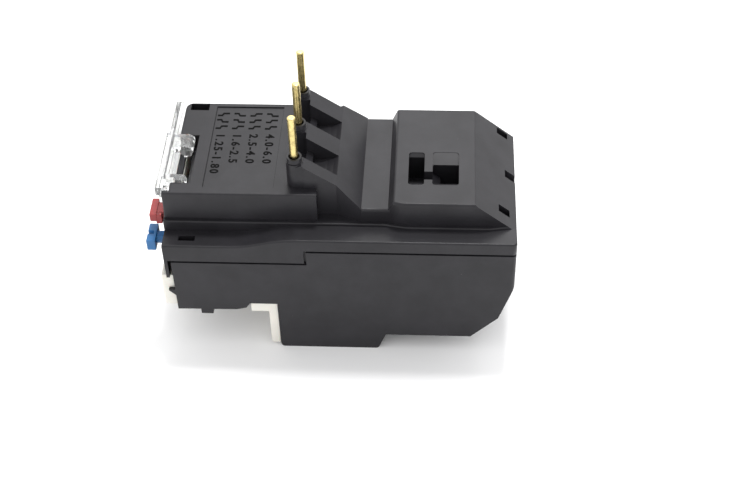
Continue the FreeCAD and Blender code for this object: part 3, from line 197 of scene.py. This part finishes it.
class RelayStage(bpy.types.PropertyGroup):
    lens: FloatProperty(name="Lens", description="Focal length on a 36 mm wide sensor",
                        default=68.73)
    camera_place: FloatVectorProperty(name="Camera place", description="Where the camera stands",
                                      default=(0.28559, 0.02929, 0.30487), subtype="TRANSLATION")
    camera_turn: FloatVectorProperty(name="Camera turn", description="Which way the camera looks",
                                     default=[math.radians(a) for a in (44.978, 1.239, 92.750)],
                                     subtype="EULER")
    floor_size: length("Floor size", "Side of the square floor", 4.0)
    key_power: power("Key light", "Small light overhead, a little behind", 4.6)
    back_power: power("Back light", "Broad light behind", 3.8)
    back_sky: FloatProperty(name="Back surroundings", description="Brightness behind the object",
                            default=1.25)
    front_sky: FloatProperty(name="Front surroundings",
                             description="Brightness on the camera's side", default=1.12)


class Finish:
    """A material in the making: its shader and the nodes that feed it."""

    def __init__(self, name):
        self.material = bpy.data.materials.new(name)
        self.material.use_nodes = True
        self.nodes = self.material.node_tree.nodes
        self.links = self.material.node_tree.links
        self.shader = self.nodes["Principled BSDF"]
        self.place = self.nodes.new("ShaderNodeTexCoord").outputs["Object"]

    def set(self, **values):
        """Plain values on the shader's own sockets."""
        for socket, value in values.items():
            self.shader.inputs[socket.replace("_", " ")].default_value = value

    def stretched(self, factors):
        """Object coordinates scaled along each axis."""
        node = self.nodes.new("ShaderNodeMapping")
        node.inputs["Scale"].default_value = factors
        self.links.new(self.place, node.inputs["Vector"])
        return node.outputs["Vector"]

    def noise(self, grain, detail=3.0, roughness=0.5, place=None):
        """Noise whose blotches are about grain metres wide."""
        node = self.nodes.new("ShaderNodeTexNoise")
        node.inputs["Scale"].default_value = 1.0 / grain
        node.inputs["Detail"].default_value = detail
        node.inputs["Roughness"].default_value = roughness
        self.links.new(place or self.place, node.inputs["Vector"])
        return node.outputs["Fac"]

    def specks(self, spacing, size):
        """One in small round specks, zero elsewhere."""
        cells = self.nodes.new("ShaderNodeTexVoronoi")
        cells.inputs["Scale"].default_value = 1.0 / spacing
        self.links.new(self.place, cells.inputs["Vector"])
        rim = size / spacing
        return self.ranged(cells.outputs["Distance"], rim, SPECK_CORE * size / spacing, 0.0, 1.0)

    def ranged(self, source, low, high, to_low, to_high):
        """Source taken from one range to another and held at its ends."""
        node = self.nodes.new("ShaderNodeMapRange")
        values = {"From Min": low, "From Max": high, "To Min": to_low, "To Max": to_high}
        for socket, value in values.items():
            node.inputs[socket].default_value = value
        self.links.new(source, node.inputs["Value"])
        return node.outputs["Result"]

    def mixed(self, factor, first, second):
        """Colour between two, each a plain colour or the output of another node."""
        node = self.nodes.new("ShaderNodeMix")
        node.data_type = "RGBA"
        self.links.new(factor, node.inputs["Factor"])
        colour_inputs = [s for s in node.inputs if s.type == "RGBA"]
        for socket, value in zip(colour_inputs, (first, second)):
            if isinstance(value, bpy.types.NodeSocket):
                self.links.new(value, socket)
            else:
                socket.default_value = (*value, 1.0)
        return [s for s in node.outputs if s.type == "RGBA"][0]

    def feed(self, socket, source):
        """Another node's output into one of the shader's sockets."""
        self.links.new(source, self.shader.inputs[socket])

    def bump(self, height, strength, distance):
        """Fine relief on the shader's normal."""
        node = self.nodes.new("ShaderNodeBump")
        node.inputs["Strength"].default_value = strength
        node.inputs["Distance"].default_value = distance
        self.links.new(height, node.inputs["Height"])
        self.links.new(node.outputs["Normal"], self.shader.inputs["Normal"])


def shade(rgb, factor):
    """A lighter or darker version of a colour."""
    return tuple(min(1.0, channel * factor) for channel in rgb)


def grained_black(rgb):
    """Matt glass-filled moulding: fine spark-eroded grain, faint smudges and a few dust specks."""
    finish = Finish("grained_black")
    smudge = finish.noise(9 * MM, detail=4.0, roughness=0.6)
    worn = finish.ranged(smudge, 0.35, 0.7, 0.0, 1.0)
    tint = finish.mixed(worn, shade(rgb, 0.85), shade(rgb, 1.25))
    dust = finish.specks(spacing=4.2 * MM, size=0.07 * MM)
    finish.feed("Base Color", finish.mixed(dust, tint, DUST_COLOUR))
    finish.feed("Roughness", finish.ranged(smudge, 0.3, 0.75, 0.40, 0.33))
    finish.set(Specular_IOR_Level=0.28)
    grain = finish.noise(0.22 * MM, detail=2.0, roughness=0.6)
    finish.bump(grain, strength=0.3, distance=0.02 * MM)
    return finish.material


def satin_plastic(name, rgb, roughness=0.38):
    """Smooth satin moulding with faint flow clouds and handling marks."""
    finish = Finish(name)
    cloud = finish.noise(5 * MM, detail=3.0)
    finish.feed("Base Color", finish.mixed(cloud, shade(rgb, 0.9), shade(rgb, 1.07)))
    finish.feed("Roughness", finish.ranged(cloud, 0.3, 0.7, roughness - 0.06, roughness + 0.1))
    finish.set(Subsurface_Weight=0.06, Subsurface_Scale=0.4 * MM)
    finish.bump(finish.noise(0.4 * MM, detail=2.0), strength=0.15, distance=0.02 * MM)
    return finish.material


def dull_mark(name, rgb):
    """Deep dull black: print on the ivory pieces, and painted shade on the moulded marks of the deck
    chart.
    """
    finish = Finish(name)
    finish.feed("Base Color", finish.mixed(finish.noise(0.3 * MM), rgb, shade(rgb, 1.8)))
    finish.set(Roughness=0.9, Specular_IOR_Level=0.1)
    return finish.material


def clear_plastic(rgb):
    """Clear moulding, a little hazy, with faint scuffs."""
    finish = Finish("clear_plastic")
    haze = finish.noise(1.5 * MM, detail=4.0, roughness=0.65)
    finish.feed("Base Color", finish.mixed(haze, shade(rgb, 0.96), rgb))
    finish.feed("Roughness", finish.ranged(haze, 0.4, 0.75, 0.04, 0.16))
    finish.feed("Transmission Weight", finish.ranged(haze, 0.3, 0.8, 0.96, 0.86))
    finish.set(IOR=1.40)
    finish.bump(haze, strength=0.05, distance=0.05 * MM)
    return finish.material


def drawn_metal(name, rgb, roughness, lines=(1.0, 1.0, 0.08), tarnish=0.55):
    """Bright metal with drawing lines along one axis and patches of tarnish."""
    finish = Finish(name)
    scratch = finish.noise(0.12 * MM, detail=2.0, roughness=0.5, place=finish.stretched(lines))
    blotch = finish.noise(1.6 * MM, detail=4.0, roughness=0.6)
    patch = finish.ranged(blotch, 0.42, 0.68, 0.0, 1.0)
    finish.feed("Base Color", finish.mixed(patch, rgb, shade(rgb, tarnish)))
    finish.feed("Roughness", finish.ranged(scratch, 0.3, 0.7, roughness - 0.08, roughness + 0.12))
    finish.set(Metallic=1.0)
    finish.bump(scratch, strength=0.25, distance=0.01 * MM)
    return finish.material


def woven_sleeve(rgb):
    """Braided glass-fibre tube."""
    finish = Finish("woven_sleeve")
    weave = finish.nodes.new("ShaderNodeTexWave")
    weave.inputs["Scale"].default_value = 1.0 / (4 * MM)
    weave.inputs["Distortion"].default_value = 4.0
    finish.links.new(finish.place, weave.inputs["Vector"])
    threads = weave.outputs["Fac"]
    finish.feed("Base Color", finish.mixed(threads, shade(rgb, 0.7), rgb))
    finish.set(Roughness=0.8)
    finish.bump(threads, strength=0.6, distance=0.05 * MM)
    return finish.material


def stage_paper(rgb):
    """Seamless white paper."""
    finish = Finish("stage_paper")
    fibre = finish.noise(40 * MM, detail=2.0)
    finish.feed("Base Color", finish.mixed(fibre, shade(rgb, 0.995), rgb))
    finish.set(Roughness=0.85, Specular_IOR_Level=0.1)
    return finish.material


def dress(material, *names):
    """The material on CAD pieces."""
    for name in names:
        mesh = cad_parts[name].data
        mesh.materials.clear()
        mesh.materials.append(material)


def by_phase(name):
    """Names of the three like pieces of the phases."""
    return ["%s_%d" % (name, phase) for phase in PHASES]


def soften(width, *names):
    """Soft edges on CAD pieces, by modifiers that leave their meshes as they are."""
    for name in names:
        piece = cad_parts[name]
        weld = piece.modifiers.new("weld", "WELD")
        weld.merge_threshold = WELD_DISTANCE
        flat = piece.modifiers.new("flat_faces", "DECIMATE")
        flat.decimate_type = "DISSOLVE"
        flat.angle_limit = FLAT_ANGLE
        bevel = piece.modifiers.new("soft_edges", "BEVEL")
        bevel.width = width
        bevel.segments = EDGE_SEGMENTS
        bevel.limit_method = "ANGLE"
        bevel.angle_limit = SHARP_ANGLE
        bevel.miter_outer = "MITER_ARC"
        normals = piece.modifiers.new("even_normals", "WEIGHTED_NORMAL")
        normals.keep_sharp = True


def mesh_piece(name, shape, material, body):
    """A new piece from its points and faces, riding on a body."""
    points, faces = shape
    mesh = bpy.data.meshes.new(name)
    mesh.from_pydata(points, [], faces)
    mesh.materials.append(material)
    piece = bpy.data.objects.new(name, mesh)
    bpy.context.scene.collection.objects.link(piece)
    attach(piece, body)


def stand_in(name, mesh, material, node):
    """A new piece in place of a CAD piece, not yet tied to any body."""
    mesh.materials.clear()
    mesh.materials.append(material)
    piece = bpy.data.objects.new(name, mesh)
    bpy.context.scene.collection.objects.link(piece)
    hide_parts(node)
    return piece


def sliced_copy(name, node, count):
    """Mesh of a CAD piece cut across its depth into short lengths."""
    low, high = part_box(node)
    shape = bmesh.new()
    shape.from_mesh(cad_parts[node].data)
    for k in range(1, count):
        whole = shape.verts[:] + shape.edges[:] + shape.faces[:]
        bmesh.ops.bisect_plane(shape, geom=whole, plane_co=low.lerp(high, k / count),
                               plane_no=(0.0, 1.0, 0.0))
    mesh = bpy.data.meshes.new(name)
    shape.to_mesh(mesh)
    shape.free()
    return mesh


def wound_wire(name, low, high, axis, wire, turns):
    """Mesh of a compression spring that fills a box along one axis."""
    first, second = [k for k in range(3) if k != axis]
    middle = (low + high) / 2
    radius = (high[first] - low[first] - wire) / 2
    rise = high[axis] - low[axis] - wire
    steps = round(turns * WIRE_STEPS)
    shape = bmesh.new()
    rings = []
    for k in range(steps + 1):
        angle = 2 * math.pi * turns * k / steps
        ring = []
        for j in range(WIRE_SIDES):
            spin = 2 * math.pi * j / WIRE_SIDES
            reach = radius + wire / 2 * math.cos(spin)
            place = middle.copy()
            place[first] += reach * math.cos(angle)
            place[second] += reach * math.sin(angle)
            place[axis] = low[axis] + wire / 2 * (1 + math.sin(spin)) + rise * k / steps
            ring.append(shape.verts.new(place))
        rings.append(ring)
    for ring, after in zip(rings, rings[1:]):
        for j in range(WIRE_SIDES):
            beside = (j + 1) % WIRE_SIDES
            shape.faces.new((ring[j], ring[beside], after[beside], after[j])).smooth = True
    shape.faces.new(rings[0])
    shape.faces.new(rings[-1])
    bmesh.ops.recalc_face_normals(shape, faces=shape.faces[:])
    mesh = bpy.data.meshes.new(name)
    shape.to_mesh(mesh)
    shape.free()
    return mesh


def edges_of_line(points, width):
    """Left and right corners along a bent line of even width."""
    left, right = [], []
    for k, point in enumerate(points):
        before = points[max(k - 1, 0)]
        after = points[min(k + 1, len(points) - 1)]
        along = (Vector(after) - Vector(before)).normalized()
        side = Vector((-along.y, along.x)) * width / 2
        left.append(Vector(point) + side)
        right.append(Vector(point) - side)
    return left, right


def raised_line(points, width, low, high):
    """Points and faces of a flat bar along a bent line in plan."""
    left, right = edges_of_line(points, width)
    count = len(points)
    corners = [(p.x, p.y, z) for z in (low, high) for side in (left, right) for p in side]
    top = 2 * count
    faces = []
    for k in range(count - 1):
        a, b = k, k + 1
        c, d = k + count, k + count + 1
        faces += [(top + a, top + c, top + d, top + b), (a, b, d, c),
                  (a, top + a, top + b, b), (c, d, top + d, top + c)]
    last = count - 1
    faces += [(0, count, top + count, top), (last, top + last, top + count + last, count + last)]
    return corners, faces


def moved(shape, turn, place):
    """Points and faces turned, then shifted."""
    points, faces = shape
    spin = turn.to_matrix()
    return [tuple(spin @ Vector(p) + Vector(place)) for p in points], faces


def gathered(shapes):
    """Several sets of points and faces as one."""
    points, faces = [], []
    for more_points, more_faces in shapes:
        shift = len(points)
        points += more_points
        faces += [tuple(k + shift for k in face) for face in more_faces]
    return points, faces


def raised_text(text, height, relief, align="CENTER", spacing=1.0, boldness=0.0):
    """Points and faces of raised numbers, flat in plan and centred on the origin in height."""
    curve = bpy.data.curves.new("numbers", "FONT")
    curve.body = text
    curve.size = height / FIGURE_HEIGHT
    curve.extrude = relief / 2
    curve.offset = boldness
    curve.space_character = spacing
    curve.align_x = align
    curve.align_y = "CENTER"
    curve.resolution_u = 3
    carrier = bpy.data.objects.new("numbers", curve)
    mesh = bpy.data.meshes.new_from_object(carrier)
    shape = [tuple(v.co) for v in mesh.vertices], [tuple(p.vertices) for p in mesh.polygons]
    bpy.data.objects.remove(carrier)
    bpy.data.curves.remove(curve)
    bpy.data.meshes.remove(mesh)
    return shape


class RELAY_OT_casing(bpy.types.Operator):
    """Dress the black housing and cover"""
    bl_idname = "relay.casing"
    bl_label = "Casing"

    def execute(self, context):
        scene = context.scene
        pieces = ("base_housing", "top_cover")
        dress(grained_black(scene.relay_colours.black), *pieces)
        soften(scene.relay_sizes.edge, *pieces)
        return {"FINISHED"}


class RELAY_OT_window(bpy.types.Operator):
    """Dress the hinged clear window"""
    bl_idname = "relay.window"
    bl_label = "Window"

    def execute(self, context):
        dress(clear_plastic(context.scene.relay_colours.clear), "window")
        soften(context.scene.relay_sizes.edge, "window")
        return {"FINISHED"}


class RELAY_OT_ivory(bpy.types.Operator):
    """Dress the ivory shroud, strip and scale plate"""
    bl_idname = "relay.ivory"
    bl_label = "Ivory mouldings"

    def execute(self, context):
        scene = context.scene
        pieces = ("load_shroud", "aux_strip", "dial_plate")
        dress(satin_plastic("ivory_satin", scene.relay_colours.ivory, roughness=0.42), *pieces)
        soften(scene.relay_sizes.edge, *pieces)
        return {"FINISHED"}


class RELAY_OT_controls(bpy.types.Operator):
    """Dress the dial, the stop button, the reset knob and the trip flag"""
    bl_idname = "relay.controls"
    bl_label = "Controls"

    def execute(self, context):
        colours = context.scene.relay_colours
        dress(satin_plastic("red_satin", colours.red, roughness=0.36), "stop_button")
        blue = satin_plastic("blue_satin", colours.blue, roughness=0.36)
        dress(blue, "reset_button", "reset_collar")
        dress(satin_plastic("grey_satin", colours.grey, roughness=0.45), "setting_dial")
        dress(satin_plastic("orange_satin", colours.orange, roughness=0.42), "trip_flag")
        soften(context.scene.relay_sizes.edge, "stop_button", "reset_button", "setting_dial")
        return {"FINISHED"}


class RELAY_OT_pins(bpy.types.Operator):
    """Dress the three brass plug pins"""
    bl_idname = "relay.pins"
    bl_label = "Plug pins"

    def execute(self, context):
        brass = drawn_metal("drawn_brass", context.scene.relay_colours.brass, 0.28, tarnish=0.62)
        dress(brass, *by_phase("plug_pin"))
        return {"FINISHED"}


class RELAY_OT_terminals(bpy.types.Operator):
    """Dress screws, clamp plates, busbars and terminals"""
    bl_idname = "relay.terminals"
    bl_label = "Terminals"

    def execute(self, context):
        colours = context.scene.relay_colours
        screws = ("load_screws", "load_clamp_plates", "aux_screws", "aux_clamp_washers")
        contacts = ("no_terminal_left", "no_terminal_right",
                    "nc_terminal_left", "nc_terminal_right")
        zinc = drawn_metal("zinc_plate", colours.zinc, 0.34, lines=(1.0, 1.0, 1.0), tarnish=0.7)
        dress(zinc, *screws)
        brass = drawn_metal("stamped_brass", colours.brass, 0.34, lines=(0.1, 1.0, 1.0))
        dress(brass, *contacts)
        copper = drawn_metal("rolled_copper", colours.copper, 0.36, lines=(1.0, 0.1, 1.0), tarnish=0.6)
        dress(copper, *by_phase("load_busbar"), *by_phase("line_strap"))
        soften(context.scene.relay_sizes.metal_edge, *screws)
        return {"FINISHED"}


class RELAY_OT_heaters(bpy.types.Operator):
    """Make the bimetal strips with their sleeves and windings, cut into short lengths"""
    bl_idname = "relay.heaters"
    bl_label = "Heaters"

    def execute(self, context):
        colours = context.scene.relay_colours
        layers = (
            ("bimetal", "bimetal", drawn_metal("bimetal_strip", colours.bimetal, 0.38)),
            ("heater_winding", "heater_ribbon", drawn_metal("heater_ribbon", colours.ribbon, 0.45)),
            ("heater_sleeve", "glass_sleeve", woven_sleeve(colours.sleeve)),
        )
        for kind, slot, finish in layers:
            for node in by_phase(kind):
                name = "bending_" + node
                piece = stand_in(name, sliced_copy(name, node, STRIP_LENGTHS), finish, node)
                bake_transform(piece)
        return {"FINISHED"}


class RELAY_OT_springs(bpy.types.Operator):
    """Wind the three springs"""
    bl_idname = "relay.springs"
    bl_label = "Springs"

    def execute(self, context):
        scene = context.scene
        steel = drawn_metal("spring_wire", scene.relay_colours.spring, 0.30)
        for node, axis, turns, fixed_body, moving_body, high_is_fixed in SPRINGS:
            low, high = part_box(node)
            name = "wound_" + node
            mesh = wound_wire(name, low, high, axis, scene.relay_sizes.wire, turns)
            piece = stand_in(name, mesh, steel, node)
            start, end = low.copy(), low.copy()
            end[axis] = high[axis]
            if high_is_fixed:
                start, end = end, start
            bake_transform(piece)
        return {"FINISHED"}


class RELAY_OT_works(bpy.types.Operator):
    """Dress the trip gear and the moving contacts inside"""
    bl_idname = "relay.works"
    bl_label = "Inner works"

    def execute(self, context):
        colours = context.scene.relay_colours
        dress(drawn_metal("spring_steel", colours.spring, 0.30), "reset_clip", "trip_pin")
        insulator = satin_plastic("inner_insulator", colours.grey, roughness=0.5)
        dress(insulator, "push_slide", "differential_slide", "differential_lever", "trip_lever",
              "contact_crossbar")
        dress(drawn_metal("contact_brass", colours.brass, 0.32), "no_bridge", "nc_bridge")
        return {"FINISHED"}


class RELAY_OT_chart(bpy.types.Operator):
    """Set the step marks and plain ranges of the setting chart on the deck, in a near-black that is
    painted shade
    """
    bl_idname = "relay.chart"
    bl_label = "Deck chart"

    def execute(self, context):
        sizes = context.scene.relay_sizes
        floor = DECK_TOP - PANEL_DEPTH
        top = floor + sizes.relief
        shapes = []
        for row, letters in enumerate(CHART_ROWS):
            for column, letter in enumerate(letters):
                shapes.append(self.step_mark(row, column, letter, sizes.stroke, floor, top))
        # Border round the chart: dark raised lines that paint the shade along the recess edge
        (x0, x1), (y0, y1) = PANEL_X, PANEL_Y
        border = [(x0, y0), (x1, y0), (x1, y1), (x0, y1)]
        for start, end in zip(border, border[1:] + border[:1]):
            shapes.append(raised_line([start, end], sizes.border_shade_line, floor, top))
        for column, text in enumerate(CHART_RANGES):
            numbers = raised_text(text, sizes.number, sizes.relief, "LEFT", RANGE_SPACING,
                                  sizes.boldness)
            middle = CHART_Y + column * COLUMN_PITCH + MARK_SPAN / 2
            place = (RANGE_START, middle, floor + sizes.relief / 2)
            shapes.append(moved(numbers, FLAT, place))
        # Painted shade: the marks, numbers and border are moulded in the deck's own black, and their
        # near-black colour stands in for the shade they catch
        black = dull_mark("chart_painted_shade", context.scene.relay_colours.mark)
        mesh_piece("chart_marks", gathered(shapes), black, "housing")
        return {"FINISHED"}

    def step_mark(self, row, column, letter, stroke, low, high):
        """One bent line, stepping towards the rows above or below."""
        x = CHART_X + row * ROW_PITCH
        y = CHART_Y + column * COLUMN_PITCH
        rise = -MARK_STEP if letter == "u" else MARK_STEP
        bend = [(x - rise, y), (x - rise, y + BEND_START * MARK_SPAN),
                (x + rise, y + BEND_END * MARK_SPAN), (x + rise, y + MARK_SPAN)]
        return raised_line(bend, stroke, low, high)


class RELAY_OT_scales(bpy.types.Operator):
    """Set the ticks and numbers round the dial and the plain terminal numbers"""
    bl_idname = "relay.scales"
    bl_label = "Scales and numbers"

    def execute(self, context):
        sizes = context.scene.relay_sizes
        black = dull_mark("scale_black", context.scene.relay_colours.mark)
        self.dial_scale(sizes, black)
        strip_low, strip_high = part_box("aux_strip")
        places = [(x, strip_low.y, strip_high.z - CONTROL_NUMBER_DROP) for x in AUX_X]
        self.front_numbers("control_numbers", CONTROL_NUMBERS, places, sizes, black)
        places = [(x, SHROUD_FRONT, LOAD_NUMBER_Z) for x in LOAD_X]
        self.front_numbers("load_numbers", LOAD_NUMBERS, places, sizes, black)
        return {"FINISHED"}

    def front_numbers(self, name, texts, places, sizes, black):
        """Upright numbers on faces that look to the front."""
        shapes = [moved(raised_text(text, sizes.small_number, sizes.relief), UPRIGHT, place)
                  for text, place in zip(texts, places)]
        mesh_piece(name, gathered(shapes), black, "housing")

    def dial_scale(self, sizes, black):
        """Ticks over the dial's sweep and four numbers, two on each side."""
        outer = SCALE_RADIUS + sizes.tick
        shapes = []
        for k in range(SCALE_STEPS + 1):
            angle = math.radians(SCALE_SWEEP * k / SCALE_STEPS - SCALE_SWEEP / 2)
            way = (math.sin(angle), math.cos(angle))
            ends = [(way[0] * r, way[1] * r) for r in (SCALE_RADIUS, outer)]
            tick = raised_line(ends, TICK_WIDTH, 0.0, sizes.relief)
            shapes.append(moved(tick, UPRIGHT, (DIAL_X, PLATE_FRONT, DIAL_Z)))
        for degrees, text in SCALE_NUMBERS:
            angle = math.radians(degrees)
            place = (DIAL_X + NUMBER_RADIUS * math.sin(angle), PLATE_FRONT,
                     DIAL_Z + NUMBER_RADIUS * math.cos(angle))
            numbers = raised_text(text, sizes.small_number, sizes.relief)
            shapes.append(moved(numbers, UPRIGHT, place))
        mesh_piece("dial_scale", gathered(shapes), black, "housing")


class RELAY_OT_stage(bpy.types.Operator):
    """Set the floor, the lights and the camera"""
    bl_idname = "relay.stage"
    bl_label = "Stage"

    def execute(self, context):
        scene = context.scene
        stage = scene.relay_stage
        self.floor(scene, stage.floor_size / 2)
        self.light(scene, "key", KEY_PLACE, KEY_SIZE, stage.key_power)
        self.light(scene, "back", BACK_PLACE, BACK_SIZE, stage.back_power)
        self.surroundings(scene, stage)
        camera_data = bpy.data.cameras.new("camera")
        camera_data.sensor_width = SENSOR_WIDTH
        camera_data.lens = stage.lens
        camera = bpy.data.objects.new("camera", camera_data)
        camera.location = stage.camera_place
        camera.rotation_euler = stage.camera_turn
        scene.collection.objects.link(camera)
        scene.camera = camera
        scene.view_settings.view_transform = "Standard"
        return {"FINISHED"}

    def floor(self, scene, half):
        """Square floor of white paper."""
        mesh = bpy.data.meshes.new("floor")
        corners = [(-half, -half, 0), (half, -half, 0), (half, half, 0), (-half, half, 0)]
        mesh.from_pydata(corners, [], [(0, 1, 2, 3)])
        mesh.materials.append(stage_paper(scene.relay_colours.floor))
        floor = bpy.data.objects.new("floor", mesh)
        scene.collection.objects.link(floor)

    def light(self, scene, name, place, size, watts):
        """Square lamp at a place, turned to the object."""
        lamp = bpy.data.lights.new(name, "AREA")
        lamp.size = size
        lamp.energy = watts
        carrier = bpy.data.objects.new(name, lamp)
        carrier.location = place
        aim = Vector(LAMP_TARGET) - Vector(place)
        carrier.rotation_euler = aim.to_track_quat("-Z", "Y").to_euler()
        scene.collection.objects.link(carrier)

    def surroundings(self, scene, stage):
        """White surroundings that fall off from behind the object to the front."""
        world = bpy.data.worlds.new("surroundings")
        world.use_nodes = True
        nodes = world.node_tree.nodes
        links = world.node_tree.links
        background = nodes["Background"]
        background.inputs["Color"].default_value = (1.0, 1.0, 1.0, 1.0)
        split = nodes.new("ShaderNodeSeparateXYZ")
        links.new(nodes.new("ShaderNodeTexCoord").outputs["Generated"], split.inputs["Vector"])
        fall = nodes.new("ShaderNodeMapRange")
        values = {"From Min": -SKY_EDGE, "From Max": SKY_EDGE,
                  "To Min": stage.back_sky, "To Max": stage.front_sky}
        for socket, value in values.items():
            fall.inputs[socket].default_value = value
        links.new(split.outputs["X"], fall.inputs["Value"])
        links.new(fall.outputs["Result"], background.inputs["Strength"])
        scene.world = world


OPERATORS = (
    RELAY_OT_casing, RELAY_OT_window, RELAY_OT_ivory, RELAY_OT_controls, RELAY_OT_pins,
    RELAY_OT_terminals, RELAY_OT_heaters, RELAY_OT_springs, RELAY_OT_works, RELAY_OT_chart,
    RELAY_OT_scales, RELAY_OT_stage,
)


class RELAY_PT_panel(bpy.types.Panel):
    """Buttons for every group of pieces"""
    bl_idname = "RELAY_PT_panel"
    bl_label = "Thermal overload relay"
    bl_space_type = "VIEW_3D"
    bl_region_type = "UI"
    bl_category = "Relay"

    def draw(self, context):
        for operator in OPERATORS:
            self.layout.operator(operator.bl_idname)


GROUPS = (RelayColours, RelaySizes, RelayStage)


def register():
    for kind in GROUPS + OPERATORS + (RELAY_PT_panel,):
        bpy.utils.register_class(kind)
    bpy.types.Scene.relay_colours = PointerProperty(type=RelayColours)
    bpy.types.Scene.relay_sizes = PointerProperty(type=RelaySizes)
    bpy.types.Scene.relay_stage = PointerProperty(type=RelayStage)


def unregister():
    del bpy.types.Scene.relay_colours
    del bpy.types.Scene.relay_sizes
    del bpy.types.Scene.relay_stage
    for kind in reversed(GROUPS + OPERATORS + (RELAY_PT_panel,)):
        bpy.utils.unregister_class(kind)


def main():
    register()
    for operator in OPERATORS:
        group, action = operator.bl_idname.split(".")
        getattr(getattr(bpy.ops, group), action)()


if __name__ == "__main__":
    main()
